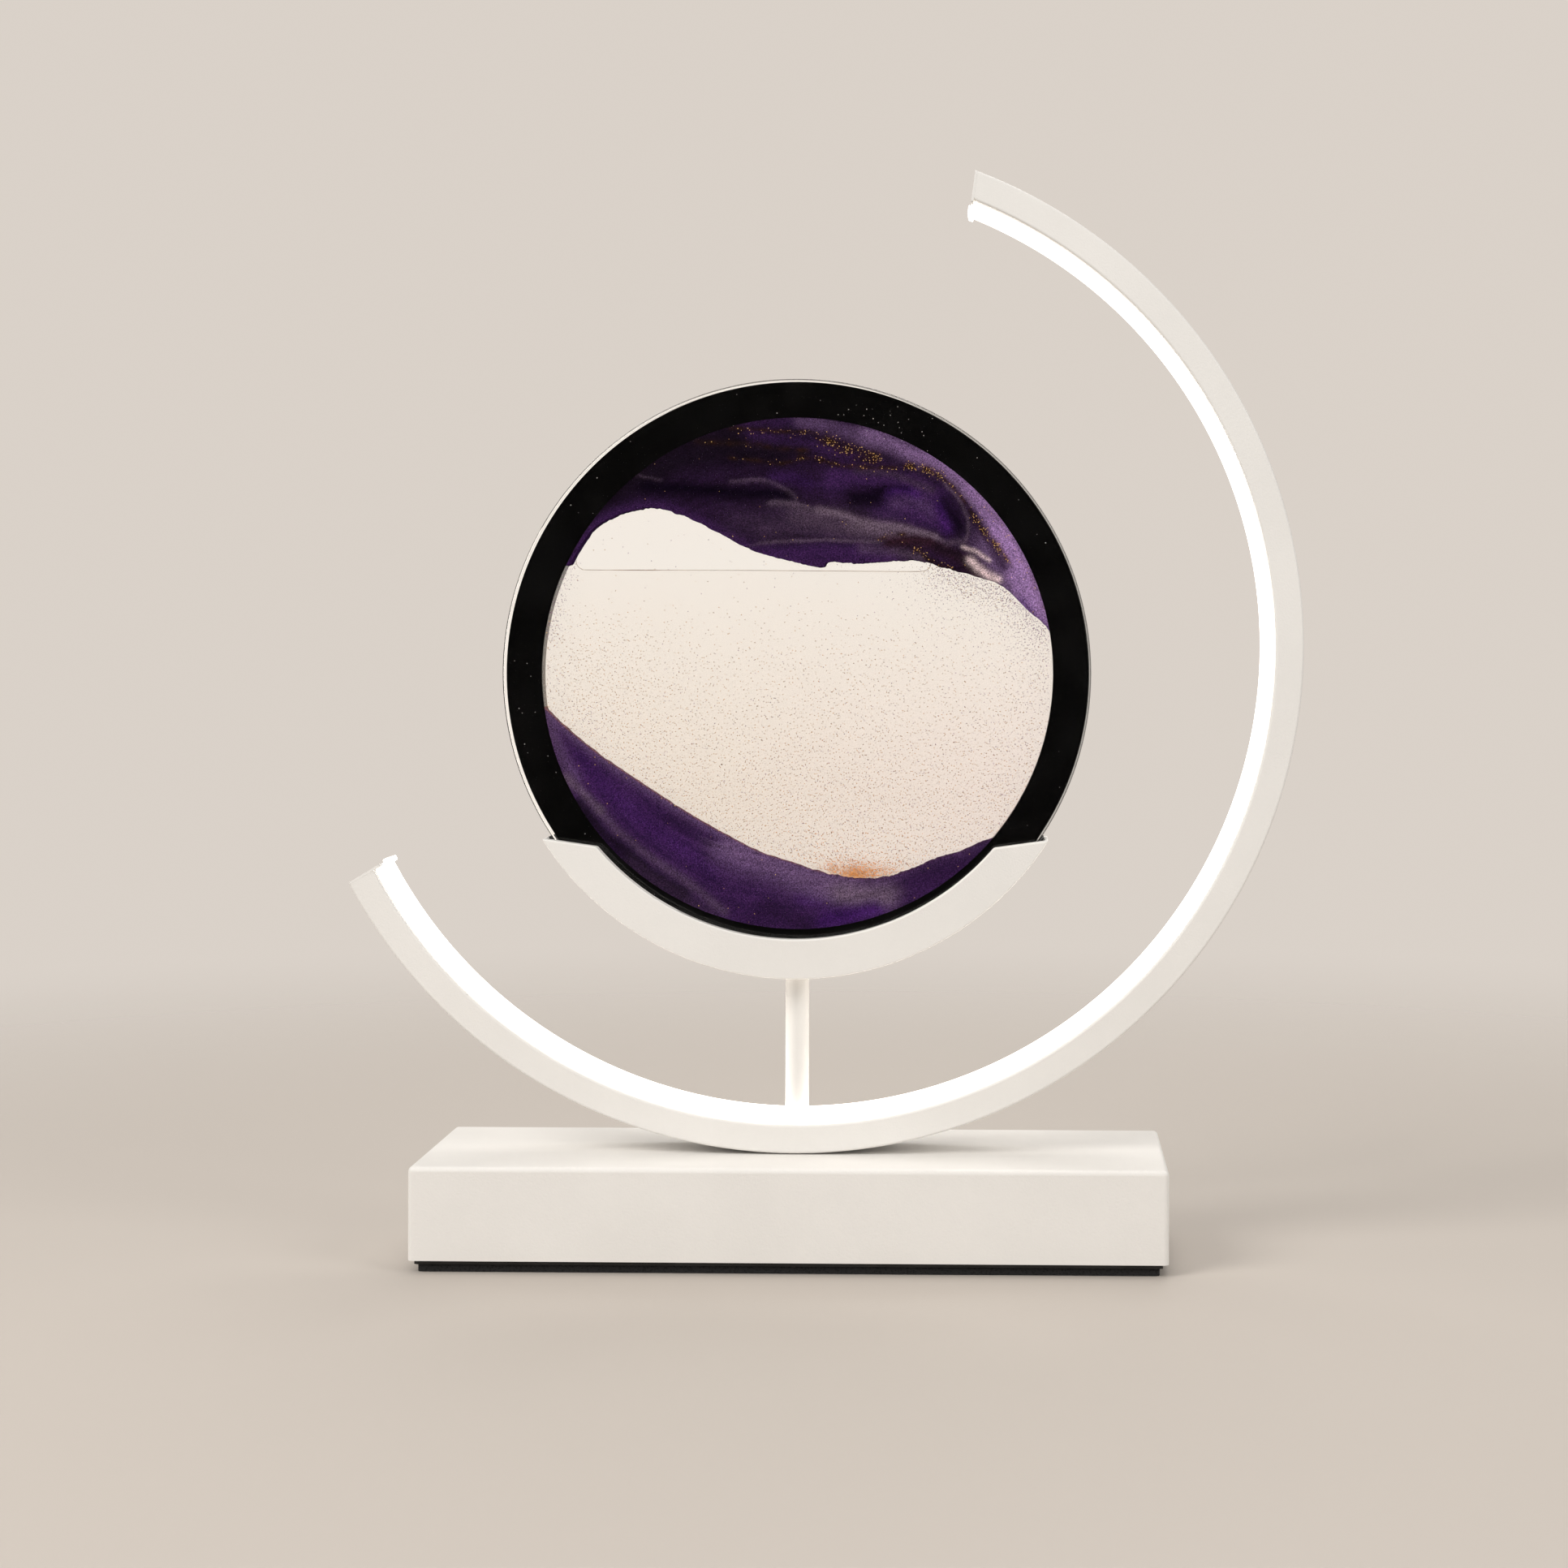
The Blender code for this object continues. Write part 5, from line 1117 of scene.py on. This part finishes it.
def upper_sand_span(x):
    rim = rim_height(x)
    return min(rim, UPPER_EDGE(x) + ragged(x, 1)), rim


def lower_sand_span(x):
    rim = rim_height(x)
    return -rim, max(-rim, LOWER_EDGE(x) + ragged(x, 2))


def lower_sand_far_span(x):
    """The settled sand lies a little lower at the back of the chamber than at its front."""
    bottom, top = lower_sand_span(x)
    return bottom, max(bottom, top - SAND_SINK_SHARE)


def liquid_span(x):
    rim = rim_height(x)
    surface = BUBBLE_HEIGHT_SHARE
    if x > BUBBLE_RIGHT_SHARE:
        surface = UPPER_EDGE(x) + LIQUID_OVERLAP_SHARE
    if x > UPPER_SAND_EDGE_SHARES[-1][0]:
        surface = rim
    bed = -rim
    if LOWER_SAND_EDGE_SHARES[0][0] < x < LOWER_SAND_EDGE_SHARES[-1][0]:
        bed = LOWER_EDGE(x) - SAND_SINK_SHARE - LIQUID_OVERLAP_SHARE
    return max(bed, -rim), min(surface, rim)


def column_grid(bm, span, start, end, y, steps):
    """A sheet of columns across the window from one height to another, at a depth."""
    across, up = steps
    columns = []
    for i in range(across + 1):
        x = start + (end - start) * i / across
        bottom, top = span(x)
        column = []
        for j in range(up + 1):
            z = bottom + (top - bottom) * j / up
            column.append(bm.verts.new((x * FILL_RADIUS, y, DISC_AXIS_Z + z * FILL_RADIUS)))
        columns.append(column)
    for left, right in zip(columns, columns[1:]):
        for a, b, c, d in zip(left, right, right[1:], left[1:]):
            bm.faces.new((a, b, c, d))
    return columns


def column_solid(name, spans, start, end, half, steps, slot):
    """A solid in the chamber, between two heights at its front and two at its back."""
    bm = bmesh.new()
    rim, far_rim = (border(column_grid(bm, span, start, end, y, steps))
                    for span, y in zip(spans, (-half, half)))
    for i in range(len(rim)):
        j = (i + 1) % len(rim)
        bm.faces.new((rim[i], far_rim[i], far_rim[j], rim[j]))
    return new_object(name, bm, FINISHES[slot])


def border(columns):
    """The corners round a sheet of columns, in order."""
    bottom = [column[0] for column in columns]
    top = [column[-1] for column in columns]
    return bottom + columns[-1][1:-1] + top[::-1] + columns[0][-2:0:-1]


def beside(places, line):
    """How far places lie from a broken line, and which of them are on its left."""
    nearest = np.full(len(places), 9.0)
    left = np.zeros(len(places), bool)
    corners = np.array(line)
    for start, end in zip(corners, corners[1:]):
        along = end - start
        offset = places - start
        t = np.clip(offset @ along / (along @ along), 0, 1)
        distance = np.linalg.norm(offset - t[:, None] * along, axis=1)
        closer = distance < nearest
        nearest = np.where(closer, distance, nearest)
        left = np.where(closer, along[0] * offset[:, 1] > along[1] * offset[:, 0], left)
    return nearest, left


def gaussian(distance, width):
    return np.exp(-(distance / width) ** 2)


def stroke(places, line, above, below):
    """1 on a line, falling softly on either side of it."""
    distance, left = beside(places, line)
    return gaussian(distance, np.where(left, above, below))


def noise_at(places, size_x, size_y, seed):
    """Smooth noise about 0, of its own size across and up."""
    return np.array([noise.noise(Vector((x / size_x, y / size_y, seed)))
                     for x, y in places.tolist()])


def warped(places):
    """Moves places a little, so that a veil winds as if it had flowed."""
    moved = places.copy()
    for axis in (0, 1):
        for part, strength in ((1, 1), (5, 0.35)):
            size = VEIL_WARP_SIZE_SHARE / part
            shift = noise_at(places, size, size, 1 + 6 * axis + part)
            moved[:, axis] += VEIL_WARP_SHARE * strength * shift
    return moved


def flow(places):
    """Places along and across the flow of the sand, which bends round the window on its right."""
    x, y = places.T
    reach = np.clip((np.hypot(x, y) - 0.60) / 0.35, 0, 1)
    bend_share = 0.35 + 0.65 * reach * reach * (3 - 2 * reach)
    across = np.sqrt(bend_share * x * x + y * y)
    return np.column_stack((np.arctan2(x, np.abs(y) + 0.2), across))


def over(colour, name, cover):
    """Lays a tone over colours."""
    cover = np.clip(cover, 0, 1)[:, None]
    return colour * (1 - cover) + np.array(TONES[name]) * cover


def paint_sand(places, base, strokes):
    """The colour of sand at each place: the base, its strokes and the streaks of its flow."""
    moved = warped(places)
    colour = np.tile(np.array(TONES[base]), (len(places), 1))
    for name, strength, line, above, below in strokes:
        colour = over(colour, name, strength * stroke(moved, line, above, below))
    streaks = noise_at(flow(moved), STREAK_LENGTH_SHARE, STREAK_WIDTH_SHARE, 21)
    clouds = noise_at(moved, 0.10, 0.10, 33)
    return colour * (1 + 0.28 * streaks + 0.22 * clouds)[:, None]


def vein_cover(places):
    """How much gold lies at each place, and how much of it glitters."""
    moved = warped(places)
    patches = np.clip(0.62 + 1.1 * noise_at(moved, 0.035, 0.035, 51), 0, 1)
    cover = np.zeros(len(places))
    glitter = np.zeros(len(places))
    for line, half_width, cover_share, glitter_share in GOLD_VEINS:
        vein = stroke(moved, line, half_width, half_width) * patches
        cover = np.maximum(cover, vein * cover_share)
        glitter = np.maximum(glitter, vein * glitter_share)
    return cover, glitter


def places_of(mesh):
    """The places of a mesh's points in the window, in shares of the fill radius."""
    points = np.empty(len(mesh.vertices) * 3, np.float32)
    mesh.vertices.foreach_get("co", points)
    points = points.reshape(-1, 3).astype(float)
    return np.column_stack((points[:, 0], points[:, 2] - DISC_AXIS_Z)) / FILL_RADIUS


def store_number(mesh, name, numbers):
    layer = mesh.attributes.new(name, "FLOAT", "POINT")
    layer.data.foreach_set("value", np.clip(numbers, 0, 1).astype(np.float32))


def store_colour(mesh, name, colours):
    layer = mesh.attributes.new(name, "FLOAT_COLOR", "POINT")
    rgba = np.column_stack((np.clip(colours, 0, 1), np.ones(len(colours))))
    layer.data.foreach_set("color", rgba.astype(np.float32).ravel())


def heights_of(edge, places):
    """The height of a sand edge at each place across the window."""
    table = np.linspace(-1, 1, 801)
    return np.interp(places[:, 0], table, [edge(x) for x in table])


def upper_tones(places):
    """The sand held up by the bubble: lavender along the rim, grey veils, veins of gold."""
    colour = paint_sand(places, "deep", UPPER_SAND_STROKES)
    above_edge = places[:, 1] - heights_of(UPPER_EDGE, places)
    left = np.clip((0.40 - places[:, 0]) / 0.2, 0, 1)
    colour = over(colour, "plum", 0.8 * left * gaussian(above_edge, 0.030))
    cover, _ = vein_cover(places)
    return over(colour, "umber", cover), cover


def lower_tones(places):
    """The settled sand: a thin gold edge, lilac beneath it, a grey streak along the rim."""
    colour = paint_sand(places, "plum", LOWER_SAND_STROKES)
    depth = heights_of(LOWER_EDGE, places) - places[:, 1]
    left = np.clip((0.30 - places[:, 0]) / 0.3, 0.25, 1)
    colour = over(colour, "lilac", 0.62 * left * gaussian(depth, LILAC_EDGE_DEPTH))
    edge = left * gaussian(depth, GOLD_EDGE_DEPTH)
    return over(colour, "gold", 0.40 * edge), 0.6 * edge


SANDS = {
    "sand_upper": (upper_sand_span, upper_sand_span, UPPER_SAND_EDGE_SHARES, upper_tones),
    "sand_lower": (lower_sand_span, lower_sand_far_span, LOWER_SAND_EDGE_SHARES, lower_tones),
}


def make_sand():
    for node, (span, far_span, shares, tones) in SANDS.items():
        sand = column_solid(node + "_veiled", (span, far_span), shares[0][0], shares[-1][0],
                            CHAMBER_HALF_DEPTH, (SAND_COLUMNS, SAND_ROWS), "sand")
        colour, gold = tones(places_of(sand.data))
        store_colour(sand.data, "tone", colour)
        store_number(sand.data, "gold", gold)
        stands_for(sand, DISC, "sand", node)


def make_liquid():
    liquid = column_solid("disc_liquid_clear", (liquid_span, liquid_span), -0.999, 0.999,
                          CHAMBER_HALF_DEPTH * 0.8, (SAND_COLUMNS // 2, SAND_ROWS), "liquid")
    places = places_of(liquid.data)
    x, y = places.T
    rosy = np.clip((x + 0.3) / 1.2, 0, 1) * np.clip((0.5 - y) / 0.8, 0, 1)
    patches = 1 + 0.8 * noise_at(places, 0.03, 0.03, 61)
    store_number(liquid.data, "haze", (0.42 - y) / 0.9)
    store_number(liquid.data, "rosy", rosy)
    store_number(liquid.data, "amber", sunk_heap(places) * patches)
    stands_for(liquid, DISC, "liquid", "disc_liquid")


def make_bubble_line():
    """The fine dark outline of the air bubble, where the liquid's skin meets the front glass."""
    finish = moulded("bubble_line_finish", (0.42, 0.33, 0.26), (0.24, 0.18, 0.14), 0.4)
    depth = -CHAMBER_HALF_DEPTH + BUBBLE_LINE_DEPTH
    points = smooth_through([(x * FILL_RADIUS, depth, DISC_AXIS_Z + z * FILL_RADIUS)
                             for x, z in BUBBLE_LINE_SHARES], 10)
    back = Vector((0, 1, 0))
    rings = []
    for i, point in enumerate(points):
        ahead = points[min(i + 1, len(points) - 1)] - points[max(i - 1, 0)]
        side = ahead.normalized().cross(back).normalized()
        radius = BUBBLE_LINE_RADIUS * (1 + 0.4 * noise.noise(Vector((i * 0.15, 2, 0))))
        if BUBBLE_SMUDGE[0] < point.x / FILL_RADIUS < BUBBLE_SMUDGE[1]:
            radius *= 1.5
        rings.append([point + side * radius * math.cos(t) + back * radius * math.sin(t)
                      for t in all_round(BUBBLE_LINE_STEPS)])
    stands_for(new_object("bubble_outline", loft(rings), finish), DISC, "liquid")


def scattered(name, span, start, end, depth, share_at, amounts, finish, tones=None):
    """Grains scattered over a sheet in the chamber, as densely as a function of place says."""
    bm = bmesh.new()
    column_grid(bm, span, start, end, depth, (LIQUID_COLUMNS, LIQUID_ROWS))
    mesh = mesh_from(name, bm)
    places = places_of(mesh)
    store_number(mesh, "share", share_at(places))
    if tones:
        store_colour(mesh, "tone", tones(places)[0])
    sheet = add_object(name, mesh)
    set_out(sheet, SCATTER, {**amounts, "Finish": finish})
    stands_for(sheet, DISC, "sand")


def sunk_heap(places):
    """The small heap of sunk gold on the settled sand."""
    rise = places[:, 1] - heights_of(LOWER_EDGE, places)
    return gaussian(places[:, 0] - 0.24, 0.115) * gaussian(rise, 0.045)


def drifting(places):
    """How densely gold grains drift in the liquid: hardly any at its top, many at its bed."""
    x, y = places.T
    down = np.clip((0.30 - y) / 0.85, 0, 1)
    bed = gaussian(y - heights_of(LOWER_EDGE, places), 0.040) * (x < 0.5)
    spray = stroke(places, [(0.53, 0.43), (0.66, 0.35), (0.80, 0.30)], 0.02, 0.05)
    left = gaussian(x + 0.78, 0.22) * gaussian(y + 0.02, 0.20)
    return 0.003 + 0.24 * down ** 0.8 + 0.08 * bed + 0.14 * left + 0.30 * spray


def sinking(places):
    """How densely the sunk gold lies: a small heap on the settled sand, thinning out above it."""
    x, y = places.T
    rise = y - heights_of(LOWER_EDGE, places)
    patches = 0.8 + 0.7 * noise_at(places, 0.05, 0.03, 61)
    above = gaussian(x - 0.22, 0.19) * gaussian(rise, 0.13)
    return (0.85 * sunk_heap(places) + 0.085 * above) * patches


def falling(places):
    """How densely purple grains lie: by the left rim, and under the right of the upper sand."""
    x, y = places.T
    left_rim = stroke(places, [(-0.90, 0.44), (-0.94, 0.30), (-0.965, 0.15)], 0.035, 0.045)
    left_bed = stroke(places, [(-0.97, -0.06), (-0.90, -0.16), (-0.78, -0.27)], 0.060, 0.02)
    edge = [(0.56, 0.40), (0.68, 0.37), (0.80, 0.33), (0.90, 0.24), (0.96, 0.17)]
    under = stroke(places, edge, 0.02, 0.075) + 1.2 * stroke(places, edge, 0.02, 0.025)
    wide = stroke(places, [(0.62, 0.36), (0.80, 0.28), (0.95, 0.10)], 0.04, 0.20)
    right = gaussian(np.hypot(x, y) - 1.0, 0.16) * np.clip(x, 0, 1)
    down = np.clip((0.2 - y) / 1.2, 0, 1)
    return (0.004 + 0.50 * left_rim + 0.12 * left_bed + 0.52 * under
            + 0.13 * wide + 0.09 * right + 0.08 * down)


def glittering(places):
    """How densely gold flakes lie on the sands: along the veins and the settled sand's edge."""
    _, glitter = vein_cover(places)
    edge = gaussian(places[:, 1] - heights_of(LOWER_EDGE, places), 0.006) * (places[:, 0] < 0.1)
    return 0.0012 + 0.72 * glitter + 0.07 * edge


def dusty(places):
    """Dust under the glass over the black ring, most of it at the upper right."""
    x, y = places.T
    cloud = gaussian(x - 0.30, 0.17) * gaussian(y - 1.02, 0.10)
    radius = np.hypot(x, y)
    return (0.045 + 0.75 * cloud) * (radius > 1.02) * (radius < 1.125)


def clear_span(x):
    """The clear part of the window, from the settled sand up to the sand above."""
    rim = rim_height(x)
    bottom, top = -rim, rim
    if LOWER_SAND_EDGE_SHARES[0][0] < x < LOWER_SAND_EDGE_SHARES[-1][0]:
        bottom = max(-rim, LOWER_EDGE(x) + CLEAR_MARGIN_SHARE)
    if UPPER_SAND_EDGE_SHARES[0][0] < x < UPPER_SAND_EDGE_SHARES[-1][0]:
        top = min(rim, UPPER_EDGE(x) - CLEAR_MARGIN_SHARE)
    return bottom, top


def ring_span(x):
    outer = math.sqrt(max(0.0, 1.13 ** 2 - x * x))
    return -outer, outer


def everywhere(places):
    return np.ones(len(places))


def make_grains():
    """Grains on the sand's face and in the liquid, gold flakes whose brightness is partly a painted
    glint, and dust on the black ring.
    """
    gold = grains("gold_grain_finish", (0.50, 0.28, 0.11), (0.18, 0.09, 0.035))
    sunk = grains("sunk_grain_finish", (0.68, 0.26, 0.045), (0.42, 0.15, 0.025))
    purple = grains("purple_grain_finish", (0.34, 0.21, 0.29), (0.090, 0.040, 0.080))
    # The flakes' gold is their own colour, but its bright diffuse tone is a painted glint: metal
    # facets here would mirror only the dark front.
    flake_with_painted_glint = grains("gold_flake_finish", (0.95, 0.62, 0.16), (0.45, 0.22, 0.04), 0.2, 0.35)
    dust = grains("dust_finish", (0.75, 0.74, 0.73), (0.22, 0.21, 0.21))
    grain = sand_grains()
    in_liquid = -CHAMBER_HALF_DEPTH + GRAINS_BEHIND_FACE
    on_sand = -CHAMBER_HALF_DEPTH - FLAKES_BEFORE_FACE
    for node, (span, _, shares, tones) in SANDS.items():
        sheet = (span, shares[0][0], shares[-1][0])
        scattered(node + "_grains", *sheet, -CHAMBER_HALF_DEPTH, everywhere, SAND_GRAINS, grain,
                  tones)
        scattered(node + "_gold_flakes", *sheet, on_sand, glittering, GOLD_FLAKES, flake_with_painted_glint)
    clear = (clear_span, -0.985, 0.985)
    scattered("drifting_gold_grains", *clear, in_liquid, drifting, GOLD_GRAINS, gold)
    scattered("sunk_gold_grains", *clear, in_liquid, sinking, SUNK_GRAINS, sunk)
    scattered("falling_purple_grains", *clear, in_liquid, falling, PURPLE_GRAINS, purple)
    scattered("ring_dust", ring_span, -1.125, 1.125, on_sand, dusty, RING_DUST, dust)


# Nodes that keep their own shape

def finish_nodes():
    slots = {entry["node"]: entry["material_slot"] for entry in frame["record"]["subparts"]}
    for name, node in frame["nodes"].items():
        finish = FINISHES[slots[name]]
        if not node.material_slots:
            node.data.materials.append(finish)
        for material_slot in node.material_slots:
            material_slot.material = finish


# Stage, light and camera

BACKDROP = (0.700, 0.640, 0.582)
FLOOR_COLOUR = (0.57, 0.520, 0.473)
FLOOR_RADIUS = 1.2
FLOOR_FADE_START = 0.28
FLOOR_FADE_END = 0.90
DARK_SIDE = 0.02
BEHIND_GLASS = 0.40
LAMP_COLOUR = (1.0, 0.97, 0.93)
LAMP_TARGET = Vector((0, 0, 0.15))
# Lamps: place, size in metres and power in watts
LAMPS = {
    "key": ((-0.95, -0.90, 1.10), 0.9, 16),
    "fill": ((1.15, -0.75, 0.80), 0.8, 6),
    "rear": ((0.15, 0.85, 1.25), 0.9, 6),
}


def make_floor():
    """A plain pale floor round the lamp. Further out it fades into the backdrop."""
    bm = bmesh.new()
    bmesh.ops.create_grid(bm, x_segments=1, y_segments=1, size=FLOOR_RADIUS)
    bmesh.ops.translate(bm, vec=(0, 0, CAD_BOX[0].z - 0.0001), verts=bm.verts)
    made = Finish("floor_finish", Roughness=0.6, Specular_IOR_Level=0.2)
    made.colour(FLOOR_COLOUR)
    reach = made.make("ShaderNodeVectorMath", {"operation": "LENGTH"}, (made.place,),
                      output="Value")
    made.let_through(reach.step(FLOOR_FADE_START, FLOOR_FADE_END))
    new_object("floor", bm, made.material)


def make_world():
    """Soft light from all round, and a pale backdrop, brightest where it shows through the disc.

    What gloss shows of it is dark in front of the lamp, as with a black card round the camera.
    """
    world = bpy.data.worlds.new("studio")
    world.use_nodes = True
    bpy.context.scene.world = world
    made = Tree(world.node_tree)
    world.node_tree.nodes.clear()
    rays = made.make("ShaderNodeLightPath").socket.node.outputs
    glossy = Value(made, rays["Glossy Depth"]).math("MINIMUM", 1.0)
    through_glass = Value(made, rays["Is Transmission Ray"])
    looked_at = Value(made, rays["Is Camera Ray"]).math("MAXIMUM", through_glass)
    heading = made.make("ShaderNodeTexCoord", output="Generated")
    split = made.make("ShaderNodeSeparateXYZ", {}, (heading,), output="Y")
    shown = DARK_SIDE + (1 - DARK_SIDE) * split.step(-0.75, 0.25)
    light, mirrored, backdrop = (
        made.make("ShaderNodeBackground", {}, {"Color": opaque(colour), "Strength": strength})
        for colour, strength in (((1.0, 0.985, 0.965), 0.46), (BACKDROP, shown),
                                 (BACKDROP, 1 + BEHIND_GLASS * through_glass)))
    both = made.make("ShaderNodeMixShader", {}, (looked_at, light, backdrop))
    both = made.make("ShaderNodeMixShader", {}, (glossy, both, mirrored))
    output = world.node_tree.nodes.new("ShaderNodeOutputWorld")
    made.feed(output.inputs["Surface"], both)


def make_lamps():
    for name, (place, size, power) in LAMPS.items():
        light = bpy.data.lights.new(name, "AREA")
        light.shape = "DISK"
        light.size = size
        light.energy = power
        light.color = LAMP_COLOUR
        lamp = add_object(name, light)
        lamp.location = place
        lamp.rotation_euler = (LAMP_TARGET - Vector(place)).to_track_quat("-Z", "Y").to_euler()


def make_camera():
    data = bpy.data.cameras.new("camera")
    data.sensor_width = CAMERA_SENSOR_MM
    data.lens = CAMERA_LENS_MM
    data.shift_x = CAMERA_SHIFT_X
    data.shift_y = CAMERA_SHIFT_Y
    camera = add_object("camera", data)
    camera.location = CAMERA_PLACE
    heading = (Matrix.Rotation(CAMERA_YAW, 4, "Z")
               @ Matrix.Rotation(math.pi / 2 - CAMERA_PITCH, 4, "X")
               @ Matrix.Rotation(CAMERA_ROLL, 4, "Z"))
    camera.rotation_euler = heading.to_euler()
    bpy.context.scene.camera = camera


def main():
    bpy.context.scene.view_settings.view_transform = "Standard"
    make_camera()
    finish_nodes()

    make_base_cover()
    make_power_inlet()
    make_bottom_screws()
    make_arc()
    for end in ("lower", "upper"):
        smooth_copy("arc_end_plate_" + end, f"arc_end_plate_{end}_painted", "white_paint")
        smooth_copy("diffuser_plug_" + end, f"diffuser_plug_{end}_soft", "diffuser",
                    PLUG_EDGE_ROUNDING)
    smooth_copy("post", "post_painted", "white_paint")
    make_cradle()
    make_felt()

    make_glass()
    make_ring()
    make_sand()
    make_liquid()
    make_bubble_line()
    make_grains()

    make_floor()
    make_world()
    make_lamps()


main()
